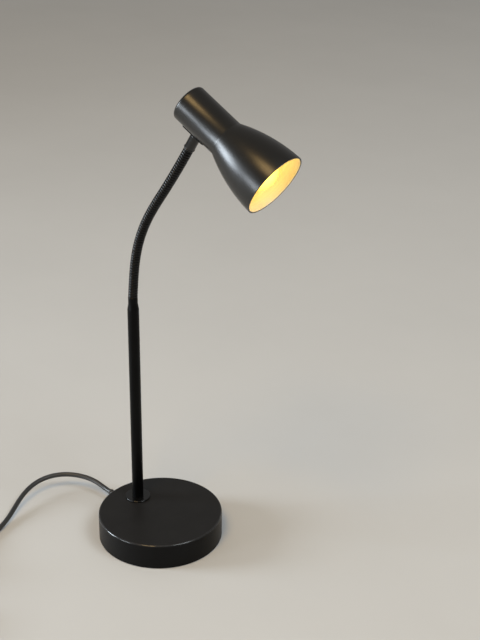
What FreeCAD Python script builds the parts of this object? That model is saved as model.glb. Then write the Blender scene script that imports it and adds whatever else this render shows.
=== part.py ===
import FreeCAD, Part
import math
import os
import Sketcher

# Gooseneck desk lamp: a weighted drum base, a straight stem, a bendable neck
# and a spun metal head, with its mains cord, cord switch and plug.
# Origin: centre of the base's underside. +Z is up, +X points from the stem
# to the base's front. Lengths are in millimetres, angles in degrees.

V = FreeCAD.Vector
doc = FreeCAD.newDocument("gooseneck_lamp")

# The driving sizes: a name, its value and what it measures.
SIZES = [
    ("base_radius", 75.0, "outside radius of the drum base"),
    ("base_height", 32.2, "top of the drum above the table"),
    ("cover_wall", 1.2, "sheet thickness of the drum"),
    ("cover_edge", 1.8, "radius of the drum's top edge"),
    ("cover_lift", 1.0, "gap between the drum's lower edge and the table"),
    ("pad_thickness", 2.0, "foam pad under the base"),
    ("pad_inset", 1.5, "pad's edge inside the bottom plate's edge"),
    ("plate_thickness", 1.2, "bottom plate"),
    ("plate_gap", 0.3, "gap between the bottom plate and the drum wall"),
    ("weight_low", 19.0, "underside of the cast iron weight above the table"),
    ("weight_gap", 0.8, "gap between the weight and the drum wall"),
    ("post_radius", 5.0, "cast posts that carry the bottom plate"),
    ("post_inset", 17.0, "posts' axes inside the drum's side"),
    ("post_count", 3, "posts"),
    ("plate_screw_radius", 2.0, "shank of a bottom plate screw"),
    ("plate_screw_head", 3.6, "head radius of a bottom plate screw"),
    ("plate_screw_rise", 1.5, "head height of a bottom plate screw"),
    ("plate_screw_length", 11.0, "shank length of a bottom plate screw"),
    ("thread_gap", 0.05, "gap between a thread and its hole"),
    ("stem_inset", 32.5, "stem's axis inside the drum's side"),
    ("stem_radius", 6.8, "outside of the stem tube"),
    ("stem_wall", 1.0, "wall of the stem tube"),
    ("stem_top", 303.0, "top of the stem tube above the table"),
    ("swage_length", 15.0, "length of the stem's narrowed end"),
    ("collar_radius", 15.35, "disc at the foot of the stem"),
    ("collar_thickness", 2.0, "thickness of that disc"),
    ("collar_edge", 0.6, "chamfer on that disc"),
    ("bush_length", 14.0, "threaded bush in the foot of the stem"),
    ("bush_gap", 0.03, "gap round the pressed bush"),
    ("nipple_radius", 5.0, "threaded pipe through the base"),
    ("nipple_bore", 3.3, "bore of that pipe"),
    ("nipple_tail", 1.5, "pipe below its nut"),
    ("nut_flats", 14.0, "nut across its flats"),
    ("nut_height", 5.0, "nut on the pipe"),
    ("washer_radius", 9.5, "washer above the nut"),
    ("washer_thickness", 1.0, "washer above the nut"),
    ("cord_radius", 3.0, "mains cord"),
    ("cord_fit", 0.1, "gap round the cord in its bush, clamp and housings"),
    ("gland_rise", 12.5, "cord's axis above the table where it leaves the base"),
    ("gland_flange", 7.0, "radius of the cord bush's flange"),
    ("gland_flange_thickness", 2.0, "flange outside the drum wall"),
    ("gland_lip", 2.0, "lip inside the drum wall"),
    ("gland_neck", 5.0, "radius of the bush in the wall"),
    ("gland_tail", 20.0, "bush's tapered tail"),
    ("gland_tip", 4.0, "radius of the tail's end"),
    ("clamp_inset", 13.0, "cord clamp inside the drum's side"),
    ("clamp_width", 8.0, "cord clamp along the cord"),
    ("clamp_span", 24.0, "cord clamp across the cord"),
    ("clamp_thickness", 3.5, "cord clamp bar"),
    ("clamp_bite", 1.0, "depth of the cord's groove in the bar"),
    ("clamp_screw_radius", 1.5, "small screws in the base"),
    ("clamp_screw_head", 2.75, "their head radius"),
    ("clamp_screw_rise", 1.6, "their head height"),
    ("clamp_screw_side", 7.6, "clamp screws beside the cord's axis"),
    ("clamp_screw_depth", 5.0, "their grip in the weight"),
    ("sheath_inset", 20.0, "end of the cord's sheath inside the drum's side"),
    ("block_length", 24.0, "terminal block along the cord"),
    ("block_width", 18.0, "terminal block across the cord"),
    ("block_height", 11.0, "terminal block"),
    ("block_inset", 49.0, "its rear face inside the drum's side"),
    ("block_pitch", 8.0, "distance between its two ways"),
    ("block_bore", 1.6, "radius of its wire holes"),
    ("block_grip", 6.0, "wire inside the terminal block"),
    ("block_screw", 1.4, "radius of its clamping screws"),
    ("wire_radius", 1.0, "insulated wire"),
    ("wire_spread", 2.2, "distance between the two wires in a pipe"),
    ("wire_low", 6.2, "wires above the table under the stem"),
    ("wire_lead", 2.5, "straight wire past the sheath's end"),
    ("wire_bow", 6.5, "supply wires' bow before and past the stem's axis"),
    ("wire_bow_side", 6.4, "supply wires' bow beside the stem's axis"),
    ("wire_bow_dip", 1.6, "supply wires' bow under the cord's axis"),
    ("wire_run", 5.0, "straight supply wire behind the terminal block"),
    ("loop_run", 6.0, "straight wire in front of the terminal block"),
    ("loop_front", 13.0, "wires' loop in front of the terminal block"),
    ("loop_front_side", 11.0, "the loop's front beside the middle"),
    ("loop_front_dip", 2.4, "the loop's front under the cord's axis"),
    ("loop_turn", 7.0, "the loop's turn in front of the terminal block"),
    ("loop_turn_side", 18.0, "the loop's turn beside the middle"),
    ("loop_back", 18.0, "the loop's way back behind the block's front"),
    ("loop_back_side", 19.0, "the loop's way back beside the middle"),
    ("loop_foot", 9.0, "the loop's last turn ahead of the stem's axis"),
    ("loop_foot_side", 13.0, "the loop's last turn beside the middle"),
    ("loop_end_side", 8.5, "the loop's end beside the stem's axis"),
    ("wire_climb", 8.0, "start of the wires' straight way up the stem"),
    ("wire_way_wall", 2.0, "wall outside the wires' ways in the lampholder"),
    ("neck_radius", 5.6, "crest of the neck's ribs"),
    ("neck_root", 4.9, "root between the neck's ribs"),
    ("neck_bore", 3.0, "bore of the neck"),
    ("link_count", 16, "links that stand for the wound neck"),
    ("link_pitch", 13.49, "length of one link"),
    ("link_gap", 1.2, "gap between two links' ribs"),
    ("ribs_per_link", 4, "ribs on one link"),
    ("rib_flank", 0.95, "length of a rib's slope along the neck"),
    ("nose_radius", 3.9, "spigot at a link's lower end"),
    ("nose_reach", 1.6, "spigot past the bending point"),
    ("socket_radius", 4.45, "socket at a link's upper end"),
    ("socket_reach", 2.8, "socket past the bending point"),
    ("lean_start", 4.7, "lean of the first link from the vertical"),
    ("lean_peak", 34.4, "largest lean, past the bend"),
    ("lean_end", 31.0, "lean of the last link"),
    ("bend_first", 0.25, "place where the bend begins, in links"),
    ("bend_last", 10.06, "place where the bend ends, in links"),
    ("bend_yaw", 10.0, "neck's plane turned from the base's middle plane"),
    ("ferrule_radius", 5.9, "sleeve at the head's end of the neck"),
    ("ferrule_length", 17.5, "length of that sleeve"),
    ("ferrule_bead", 6.3, "radius of the bead on that sleeve"),
    ("ferrule_bead_width", 1.6, "width of the bead"),
    ("ferrule_fit", 0.02, "gap round the sleeve's spigot in the last link"),
    ("ring_radius", 6.6, "ring washer under the head"),
    ("ring_thickness", 1.3, "ring washer under the head"),
    ("swivel_gap", 0.06, "running gap of the head's swivel"),
    ("saddle_thickness", 1.2, "curved plate between the ring and the head"),
    ("saddle_length", 31.0, "curved plate along the head"),
    ("saddle_width", 22.0, "curved plate across the head"),
    ("saddle_corner", 4.0, "corner radius of the curved plate"),
    ("saddle_seat", 0.02, "gap between the curved plate and the head"),
    ("pivot_radius", 4.0, "threaded pipe that the head turns on"),
    ("pivot_bore", 2.7, "bore of that pipe"),
    ("pivot_grip", 9.0, "its length in the sleeve"),
    ("pivot_tail", 1.0, "its end past the nut"),
    ("head_radius", 21.0, "rear part of the head"),
    ("head_wall", 1.0, "sheet thickness of the head"),
    ("head_rear", 27.5, "closed end behind the neck's axis"),
    ("head_edge", 3.0, "radius of the closed end's edge"),
    ("head_crease", 31.5, "start of the bell, ahead of the neck's axis"),
    ("head_mouth", 103.4, "mouth, ahead of the neck's axis"),
    ("mouth_radius", 37.6, "mouth of the bell"),
    ("bell_arc", 185.0, "radius of the bell's side"),
    ("crease_blend", 3.0, "radius in the crease"),
    ("shoe_radius", 8.0, "inner curved washer on the swivel"),
    ("shoe_drop", 16.8, "its flat top below the head's axis"),
    ("bracket_thickness", 1.2, "strip that carries the lampholder"),
    ("bracket_width", 14.0, "strip that carries the lampholder"),
    ("bracket_reach", 8.0, "its upright leg ahead of the neck's axis"),
    ("bracket_rise", 8.0, "top of that leg above the head's axis"),
    ("spring_radius", 7.0, "spring washer on the swivel"),
    ("spring_thickness", 0.6, "spring washer on the swivel"),
    ("pivot_nut_flats", 12.0, "nut on the swivel across its flats"),
    ("pivot_nut_height", 3.5, "nut on the swivel"),
    ("holder_radius", 14.0, "lampholder barrel"),
    ("holder_front", 48.0, "lampholder's rim ahead of the neck's axis"),
    ("holder_floor", 19.5, "floor of its cavity ahead of the neck's axis"),
    ("holder_skirt", 15.2, "radius of its front collar"),
    ("holder_skirt_width", 6.0, "width of its front collar"),
    ("shell_wall", 0.45, "brass screw shell in the lampholder"),
    ("shell_length", 16.0, "brass screw shell in the lampholder"),
    ("holder_throat", 7.0, "depth of the wide front of the lampholder's cavity"),
    ("holder_throat_radius", 10.2, "radius of that wide front"),
    ("tongue_width", 4.0, "centre contact of the lampholder"),
    ("tongue_thickness", 0.4, "centre contact of the lampholder"),
    ("holder_screw_radius", 1.5, "screws that hold the lampholder"),
    ("holder_screw_head", 2.75, "their head radius"),
    ("holder_screw_rise", 1.6, "their head height"),
    ("holder_screw_depth", 7.0, "their grip in the lampholder"),
    ("holder_screw_side", 4.5, "their distance from the head's axis"),
    ("bulb_inset", 3.0, "bulb's tip behind the mouth"),
    ("bulb_radius", 22.5, "ball of the bulb"),
    ("bulb_length", 78.0, "bulb with its cap"),
    ("cap_radius", 6.85, "screw cap of the bulb"),
    ("cap_length", 24.5, "screw cap of the bulb with its insulator"),
    ("cap_skirt", 4.5, "flared front of the screw cap"),
    ("cap_skirt_radius", 8.7, "radius of that flare"),
    ("cap_wall", 0.4, "sheet of the screw cap"),
    ("cap_insulator", 3.0, "glass insulator at the cap's end"),
    ("cap_contact", 2.3, "radius of the end contact"),
    ("cap_contact_rise", 0.8, "end contact"),
    ("glass_wall", 1.0, "wall of the bulb's glass"),
    ("glass_neck", 8.4, "radius of the glass at the cap"),
    ("glass_throat", 15.1, "length of the glass's neck"),
    ("glass_neck_arc", 27.0, "radius of the neck's curve"),
    ("cap_fit", 0.1, "gap between the cap and the screw shell"),
    ("switch_length", 62.0, "cord switch"),
    ("switch_width", 28.0, "cord switch"),
    ("switch_height", 19.0, "cord switch"),
    ("switch_wall", 1.8, "wall of the cord switch"),
    ("switch_corner", 9.0, "corner radius of the cord switch"),
    ("switch_split", 9.5, "height of the seam between its halves"),
    ("switch_edge", 2.0, "radius of its outer edges"),
    ("rocker_length", 17.0, "rocker along the cord"),
    ("rocker_width", 10.0, "rocker across the cord"),
    ("rocker_gap", 0.3, "gap round the rocker"),
    ("rocker_arc", 26.0, "radius of the rocker's dished top"),
    ("rocker_pivot", 12.5, "height of the rocker's pin"),
    ("rocker_tilt", 9.0, "rocker's tilt when the lamp is on"),
    ("rocker_pin", 1.2, "radius of the rocker's pin"),
    ("rocker_pin_gap", 0.05, "running gap round the rocker's pin"),
    ("rocker_cheek", 2.0, "wall that carries the rocker's pin"),
    ("case_screw_radius", 1.25, "screws that close the switch"),
    ("case_screw_head", 2.4, "their head radius"),
    ("case_screw_rise", 1.4, "their head height"),
    ("case_screw_sink", 0.4, "their heads inside the switch's underside"),
    ("case_screw_place", 21.0, "their distance from the switch's middle"),
    ("case_screw_side", 8.0, "their distance beside the switch's middle"),
    ("case_boss", 3.0, "radius of the bosses round them"),
    ("plug_length", 36.0, "plug's body"),
    ("plug_width", 35.0, "plug's body across both pins"),
    ("plug_height", 13.6, "plug's body"),
    ("plug_corner", 6.0, "corner radius of the plug's body"),
    ("plug_edge", 1.5, "radius of its edges"),
    ("plug_waist", 20.0, "width of its rear end"),
    ("pin_radius", 2.0, "plug's pin"),
    ("pin_length", 19.0, "plug's pin"),
    ("pin_spacing", 18.6, "distance between the two pins"),
    ("pin_root", 8.0, "pin inside the plug's body"),
    ("pin_tip", 1.0, "chamfer on a pin"),
    ("relief_length", 26.0, "cord sleeve on the plug"),
    ("relief_root", 5.6, "its radius at the plug"),
    ("relief_tip", 3.9, "its radius at the cord"),
    ("cord_in_switch", 6.0, "cord inside each end of the switch"),
    ("coil_radius", 44.0, "widest half turn of the put-away cord"),
    ("coil_step", 6.7, "distance between its turns"),
    ("coil_rise", 6.7, "distance between its two layers"),
    ("coil_half_turns", 6, "half turns in each layer"),
]

sheet = doc.addObject("Spreadsheet::Sheet", "Sizes")
for row, (alias, value, note) in enumerate(SIZES, start=1):
    sheet.set(f"A{row}", str(value))
    sheet.setAlias(f"A{row}", alias)
    sheet.set(f"B{row}", note)
doc.recompute()


def size(expression):
    """The value of an expression over the sheet's names."""
    return float(sheet.evalExpression(expression))


# Heights and places that several pieces share, as expressions over the sheet.
PLATE_TOP = "(pad_thickness + plate_thickness)"
ROOF = "(base_height - cover_wall)"
NUT_TOP = "(weight_low - washer_thickness)"
NIPPLE_LOW = f"({NUT_TOP} - nut_height - nipple_tail)"
STEM_LOW = "(base_height + collar_thickness)"
COVER_INSIDE = "(base_radius - cover_wall)"
POST_RING = "(base_radius - post_inset)"
STEM_PLACE = "(-base_radius + stem_inset)"
CLAMP_PLACE = "(-base_radius + clamp_inset)"
SHEATH_END = "(-base_radius + sheath_inset)"
BLOCK_REAR = "(-base_radius + block_inset)"
PLATE_RADIUS = f"({COVER_INSIDE} - plate_gap)"
PIVOT_LOW = "(ferrule_length - pivot_grip)"
HEAD_RISE = ("(ferrule_length + ring_thickness + swivel_gap + saddle_thickness"
             " + saddle_seat + head_radius)")
SHELL_INSIDE = "(head_radius - head_wall)"
CAP_END = "(head_mouth - bulb_inset - bulb_length)"
HOLDER_REAR = "(bracket_reach + bracket_thickness)"
SHELL_RADIUS = "(cap_radius + cap_fit)"

WALL_PLACE = "(-base_radius)"
FLANGE_OUT = f"({WALL_PLACE} - gland_flange_thickness)"
TAIL_END = f"({FLANGE_OUT} - gland_tail)"
CLAMP_TOP = "(gland_rise - cord_radius + clamp_bite)"
SEAT_LOW = "(gland_rise + cord_radius - clamp_bite)"
SPRING_LOW = "(-shoe_drop + bracket_thickness + swivel_gap / 2)"
PIVOT_TOP = f"({SPRING_LOW} + spring_thickness + pivot_nut_height + pivot_tail)"
ROCKER_END = "(rocker_length / 2 + rocker_gap)"
PIN_SPAN = "(rocker_width + 2 * rocker_gap + 2 * rocker_cheek)"

subparts = []


def keep(label, piece, placement=None):
    """Name a finished piece and put it in its place."""
    piece.Label = label
    if placement is not None:
        piece.Placement = placement
    subparts.append(piece)
    return piece


def bind(piece, **expressions):
    """Tie properties of an object to expressions over the sheet."""
    for name, expression in expressions.items():
        piece.setExpression(name.replace("_at_", "."), sheet_names(expression))


def sheet_names(expression):
    """The same expression with every size written as a cell of the sheet."""
    out = []
    word = ""
    for letter in expression + " ":
        if letter.isalnum() or letter == "_":
            word += letter
            continue
        out.append("Sizes." + word if word in ALIASES else word)
        out.append(letter)
        word = ""
    return "".join(out).strip()


ALIASES = {alias for alias, value, note in SIZES}


def body_plane(body, role):
    """One of a body's own origin planes."""
    return next(f for f in body.Origin.OriginFeatures if f.Role == role)


def new_sketch(body, role, name):
    """An empty sketch on one of the body's origin planes."""
    sketch = body.newObject("Sketcher::SketchObject", name)
    sketch.AttachmentSupport = [(body_plane(body, role), "")]
    sketch.MapMode = "FlatFace"
    return sketch


def fix_point(sketch, line, end, across, up):
    """Hold a line's end at a place given by two expressions."""
    for kind, expression in (("DistanceX", across), ("DistanceY", up)):
        number = sketch.addConstraint(
            Sketcher.Constraint(kind, line, end, size(expression)))
        sketch.setExpression(f"Constraints[{number}]", sheet_names(expression))


def draw_outline(sketch, corners):
    """A closed outline. A corner is (across, up), or (across, up, radius, side)
    where an arc runs on to the next corner and bulges to that side of the way."""
    places = [V(size(c[0]), size(c[1]), 0) for c in corners]
    ends = []
    for number, corner in enumerate(corners):
        here = places[number]
        there = places[(number + 1) % len(places)]
        if len(corner) == 2:
            line = sketch.addGeometry(Part.LineSegment(here, there))
            ends.append((1, 2))
        else:
            radius = size(corner[2])
            half = (there - here) * 0.5
            turn = 1 if corner[3] == "left" else -1
            bulge = V(-half.y, half.x, 0).normalize() * turn
            drop = math.sqrt(max(radius ** 2 - half.Length ** 2, 0))
            top = here + half + bulge * (radius - drop)
            # arcs are stored anticlockwise
            way = (there, here) if turn == 1 else (here, there)
            line = sketch.addGeometry(Part.Arc(way[0], top, way[1]))
            ends.append((2, 1) if turn == 1 else (1, 2))
        fix_point(sketch, line, ends[-1][0], corner[0], corner[1])
        if len(corner) == 4:
            rule = sketch.addConstraint(
                Sketcher.Constraint("Radius", line, radius))
            sketch.setExpression(f"Constraints[{rule}]", sheet_names(corner[2]))
    for number in range(len(corners)):
        after = (number + 1) % len(corners)
        sketch.addConstraint(Sketcher.Constraint(
            "Coincident", number, ends[number][1], after, ends[after][0]))


def turned(name, corners, axis="V_Axis"):
    """A body turned about the upright (V) or the level (H) axis from an outline
    in the XZ plane."""
    body = doc.addObject("PartDesign::Body", name)
    sketch = new_sketch(body, "XZ_Plane", name + "_outline")
    draw_outline(sketch, corners)
    doc.recompute()
    turn = body.newObject("PartDesign::Revolution", name + "_turn")
    turn.Profile = sketch
    turn.ReferenceAxis = (sketch, [axis])
    turn.Angle = 360
    sketch.Visibility = False
    return body


def draw_circles(sketch, circles):
    """Circles given as (across, up, radius)."""
    for across, up, radius in circles:
        centre = V(size(across), size(up), 0)
        ring = sketch.addGeometry(
            Part.Circle(centre, V(0, 0, 1), size(radius)))
        fix_point(sketch, ring, 3, across, up)
        number = sketch.addConstraint(
            Sketcher.Constraint("Radius", ring, size(radius)))
        sketch.setExpression(f"Constraints[{number}]", sheet_names(radius))


def extruded(name, draw, outline, height, start="0"):
    """A body padded upwards from its XY plane."""
    body = doc.addObject("PartDesign::Body", name)
    sketch = new_sketch(body, "XY_Plane", name + "_outline")
    sketch.setExpression("AttachmentOffset.Base.z", sheet_names(start))
    draw(sketch, outline)
    doc.recompute()
    pad = body.newObject("PartDesign::Pad", name + "_pad")
    pad.Profile = sketch
    pad.setExpression("Length", sheet_names(height))
    sketch.Visibility = False
    doc.recompute()
    return body


def drilled(body, name, role, circles):
    """Round holes right through a body, both ways from one of its planes."""
    before = volume_of(body)
    sketch = new_sketch(body, role, name + "_circles")
    draw_circles(sketch, circles)
    pocket = body.newObject("PartDesign::Pocket", name)
    pocket.Profile = sketch
    pocket.Type = 1
    pocket.Midplane = True
    sketch.Visibility = False
    doc.recompute()
    assert volume_of(body) < before, name + " cuts nothing"
    return pocket


def pocketed(body, name, role, draw, outline, start, depth, up=True):
    """A pocket of a set depth that starts at an offset from a plane."""
    before = volume_of(body)
    sketch = new_sketch(body, role, name + "_outline")
    sketch.setExpression("AttachmentOffset.Base.z", sheet_names(start))
    draw(sketch, outline)
    pocket = body.newObject("PartDesign::Pocket", name)
    pocket.Profile = sketch
    pocket.setExpression("Length", sheet_names(depth))
    pocket.Reversed = up
    sketch.Visibility = False
    doc.recompute()
    assert volume_of(body) < before, name + " cuts nothing"
    return pocket


def volume_of(body):
    """Volume of a body as it stands."""
    doc.recompute()
    return body.Shape.Volume


def edge_names(shape, test):
    """Names of the edges whose box passes a test."""
    return [f"Edge{number}" for number, edge in enumerate(shape.Edges, start=1)
            if test(edge.BoundBox)]


def dressed(body, kind, test, radius):
    """A fillet or chamfer on the edges that pass a test."""
    doc.recompute()
    tip = body.Tip
    names = edge_names(tip.Shape, test)
    assert names, body.Name + " has no such edge"
    dress = body.newObject("PartDesign::" + kind, body.Name + "_" + kind)
    dress.Base = (tip, names)
    dress.setExpression("Radius" if kind == "Fillet" else "Size",
                        sheet_names(radius))
    doc.recompute()
    return dress


def solid_box(name, length, width, height, centre=None, low="0"):
    """A box with its middle above or below a place given by two expressions."""
    box = doc.addObject("Part::Box", name)
    across, beside = centre or ("0", "0")
    bind(box, Length=length, Width=width, Height=height,
         Placement_at_Base_at_x=f"{across} - ({length}) / 2",
         Placement_at_Base_at_y=f"{beside} - ({width}) / 2",
         Placement_at_Base_at_z=low)
    return box


def solid_rod(name, radius, height, centre=None, low="0"):
    """An upright cylinder."""
    rod = doc.addObject("Part::Cylinder", name)
    across, beside = centre or ("0", "0")
    bind(rod, Radius=radius, Height=height, Placement_at_Base_at_x=across,
         Placement_at_Base_at_y=beside, Placement_at_Base_at_z=low)
    return rod


def level_rod(name, radius, length, start, beside="0", up="0"):
    """A cylinder that lies along +X from a start."""
    rod = doc.addObject("Part::Cylinder", name)
    rod.Placement = FreeCAD.Placement(V(0, 0, 0), FreeCAD.Rotation(V(0, 1, 0), 90))
    bind(rod, Radius=radius, Height=length, Placement_at_Base_at_x=start,
         Placement_at_Base_at_y=beside, Placement_at_Base_at_z=up)
    return rod


def cut(name, base, *tools):
    """The base without its tools."""
    for number, tool in enumerate(tools):
        piece = doc.addObject("Part::Cut", f"{name}_{number}")
        piece.Base = base
        piece.Tool = tool
        base = piece
    return base


def joined(name, *pieces):
    """Pieces as one solid, or as one group where they don't touch."""
    fuse = doc.addObject("Part::MultiFuse", name)
    fuse.Shapes = list(pieces)
    return fuse


def shared(name, first, second):
    """What two pieces have in common."""
    common = doc.addObject("Part::Common", name)
    common.Base = first
    common.Tool = second
    return common


def hexagon(name, flats, height, centre=None, low="0"):
    """An upright six-sided prism."""
    prism = doc.addObject("Part::Prism", name)
    prism.Polygon = 6
    across, beside = centre or ("0", "0")
    bind(prism, Circumradius=f"({flats}) / sqrt(3)", Height=height,
         Placement_at_Base_at_x=across, Placement_at_Base_at_y=beside,
         Placement_at_Base_at_z=low)
    return prism


# Cords and wires

def bend_points(points):
    """Lines and tangent arcs through a hand-made route, with the arcs' radii."""
    edges = []
    radii = []
    last = points[0]
    for before, here, after in zip(points, points[1:], points[2:]):
        back = (before - here).normalize()
        on = (after - here).normalize()
        run = min((before - here).Length, (after - here).Length)
        half = (math.pi - back.getAngle(on)) / 2
        reach = 0.45 * run
        start = here + back * reach
        end = here + on * reach
        middle = (start + end) * 0.5
        radius = reach / math.tan(half)
        inward = (middle - here).normalize()
        centre = here + inward * (radius / math.cos(half))
        top = centre - inward * radius
        edges.append(Part.LineSegment(last, start).toShape())
        edges.append(Part.Arc(start, top, end).toShape())
        radii.append(radius)
        last = end
    edges.append(Part.LineSegment(last, points[-1]).toShape())
    return edges, radii


def swept(edges, radius):
    """A round tube along joined edges, checked against its length."""
    path = Part.Wire(edges)
    start = edges[0].valueAt(edges[0].FirstParameter)
    way = edges[0].tangentAt(edges[0].FirstParameter)
    ring = Part.Wire(Part.Circle(start, way, radius).toShape())
    pipe = Part.BRepOffsetAPI.MakePipeShell(path)
    pipe.add(ring)
    pipe.build()
    pipe.makeSolid()
    tube = pipe.shape()
    expected = math.pi * radius ** 2 * path.Length
    assert abs(tube.Volume - expected) < 0.01 * expected, "tube's volume is off"
    return tube, path.Length


def tube(label, points, radius):
    """A cord or wire along a hand-made route."""
    edges, radii = bend_points(points)
    shape, length = swept(edges, radius)
    print(label, "length", round(length, 1), "radii",
          [round(r, 1) for r in radii])
    feature = doc.addObject("Part::Feature", label)
    feature.Shape = shape
    return feature, length


# The base

def base_pieces():
    """Drum, weight, bottom plate and pad, with the plate's screws."""
    cover = turned("base_cover", [
        (COVER_INSIDE, "cover_lift"),
        ("base_radius", "cover_lift"),
        ("base_radius", "base_height"),
        ("0", "base_height"),
        ("0", ROOF),
        (COVER_INSIDE, ROOF)])
    top = size("base_height")
    wide = size("base_radius")
    dressed(cover, "Fillet",
            lambda b: b.ZMin > top - 0.01 and b.XMax > wide - 0.01, "cover_edge")
    drilled(cover, "pipe_hole", "XY_Plane",
            [(STEM_PLACE, "0", "nipple_radius + thread_gap")])
    gland = new_sketch(cover, "YZ_Plane", "gland_circle")
    draw_circles(gland, [("0", "gland_rise", "gland_neck")])
    hole = cover.newObject("PartDesign::Pocket", "gland_hole")
    hole.Profile = gland
    hole.Type = 1
    doc.recompute()
    keep("base_cover", cover)

    weight = extruded("base_weight", draw_circles,
                      [("0", "0", f"{COVER_INSIDE} - weight_gap")],
                      f"{ROOF} - weight_low", "weight_low")
    dressed(weight, "Chamfer", lambda b: b.XMax > wide * 0.9, "cover_edge")
    post = new_sketch(weight, "XY_Plane", "post_circle")
    post.setExpression("AttachmentOffset.Base.z", sheet_names(PLATE_TOP))
    draw_circles(post, [(POST_RING, "0", "post_radius")])
    pad = weight.newObject("PartDesign::Pad", "post")
    pad.Profile = post
    pad.setExpression("Length", sheet_names(f"weight_low - {PLATE_TOP}"))
    doc.recompute()
    bore = new_sketch(weight, "XY_Plane", "post_bore")
    bore.setExpression("AttachmentOffset.Base.z", sheet_names(PLATE_TOP))
    draw_circles(bore, [(POST_RING, "0", "plate_screw_radius + thread_gap")])
    tap = weight.newObject("PartDesign::Pocket", "post_tap")
    tap.Profile = bore
    tap.Reversed = True
    tap.setExpression("Length", sheet_names("plate_screw_length + thread_gap"))
    doc.recompute()
    ring = weight.newObject("PartDesign::PolarPattern", "post_pattern")
    ring.Originals = [pad, tap]
    ring.Axis = (post, ["N_Axis"])
    ring.Angle = 360
    bind(ring, Occurrences="post_count")
    weight.Tip = ring
    doc.recompute()
    drilled(weight, "pipe_way", "XY_Plane",
            [(STEM_PLACE, "0", "nipple_radius + thread_gap")])
    clamp_seat = new_sketch(weight, "XY_Plane", "clamp_seat_outline")
    clamp_seat.setExpression("AttachmentOffset.Base.z", sheet_names(SEAT_LOW))
    draw_outline(clamp_seat, rectangle(CLAMP_PLACE, "0",
                                       "clamp_width", "clamp_span"))
    seat = weight.newObject("PartDesign::Pad", "clamp_seat")
    seat.Profile = clamp_seat
    seat.setExpression("Length", sheet_names(f"weight_low - {SEAT_LOW}"))
    doc.recompute()
    groove = new_sketch(weight, "YZ_Plane", "clamp_seat_circle")
    groove.setExpression("AttachmentOffset.Base.z",
                         sheet_names(f"{CLAMP_PLACE} + clamp_width / 2"))
    draw_circles(groove, [("0", "gland_rise", "cord_radius + cord_fit")])
    notch = weight.newObject("PartDesign::Pocket", "clamp_seat_groove")
    notch.Profile = groove
    notch.setExpression("Length", sheet_names("clamp_width"))
    doc.recompute()
    pocketed(weight, "clamp_taps", "XY_Plane", draw_circles,
             [(CLAMP_PLACE, f"{sign}clamp_screw_side",
               "clamp_screw_radius + thread_gap") for sign in "+-"],
             SEAT_LOW, "clamp_screw_depth + thread_gap")
    pocketed(weight, "block_tap", "XY_Plane", draw_circles,
             [(f"{BLOCK_REAR} + block_length / 2", "0",
               "clamp_screw_radius + thread_gap")],
             "weight_low", "clamp_screw_depth + thread_gap")
    keep("base_weight", weight)

    plate = extruded("base_plate", draw_circles, [("0", "0", PLATE_RADIUS)],
                     "plate_thickness", "pad_thickness")
    holed_in_a_ring(plate, "plate_holes", "plate_screw_radius + thread_gap")
    keep("base_plate", plate)
    foam = extruded("base_pad", draw_circles,
                    [("0", "0", f"{PLATE_RADIUS} - pad_inset")],
                    "pad_thickness")
    holed_in_a_ring(foam, "pad_holes", "plate_screw_head + plate_gap")
    keep("base_pad", foam)

    screw = turned("plate_screw", [
        ("0", "pad_thickness - plate_screw_rise"),
        ("plate_screw_head", "pad_thickness - plate_screw_rise"),
        ("plate_screw_head", "pad_thickness"),
        ("plate_screw_radius", "pad_thickness"),
        ("plate_screw_radius", f"{PLATE_TOP} + plate_screw_length"),
        ("0", f"{PLATE_TOP} + plate_screw_length")])
    doc.recompute()
    keep("base_plate_screws", ring_of(screw, "plate_screw_ring"))


def rectangle(across, beside, length, width):
    """Corners of a rectangle about a place."""
    left = f"{across} - ({length}) / 2"
    right = f"{across} + ({length}) / 2"
    low = f"{beside} - ({width}) / 2"
    high = f"{beside} + ({width}) / 2"
    return [(left, low), (right, low), (right, high), (left, high)]


def holed_in_a_ring(body, name, radius):
    """Through holes on the circle of the weight's posts."""
    sketch = new_sketch(body, "XY_Plane", name + "_circle")
    draw_circles(sketch, [(POST_RING, "0", radius)])
    hole = body.newObject("PartDesign::Pocket", name)
    hole.Profile = sketch
    hole.Type = 1
    hole.Midplane = True
    doc.recompute()
    ring = body.newObject("PartDesign::PolarPattern", name + "_ring")
    ring.Originals = [hole]
    ring.Axis = (sketch, ["N_Axis"])
    ring.Angle = 360
    bind(ring, Occurrences="post_count")
    body.Tip = ring
    doc.recompute()


def ring_of(screw, name):
    """Copies of a screw on the circle of the weight's posts, as one group."""
    copies = []
    count = int(size("post_count"))
    for number in range(count):
        turn = FreeCAD.Rotation(V(0, 0, 1), 360.0 * number / count)
        place = turn.multVec(V(size(POST_RING), 0, 0))
        copy = screw.Shape.copy()
        copy.Placement = FreeCAD.Placement(place, FreeCAD.Rotation())
        copies.append(copy)
    group = doc.addObject("Part::Feature", name)
    group.Shape = Part.Compound(copies)
    return group


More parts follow.
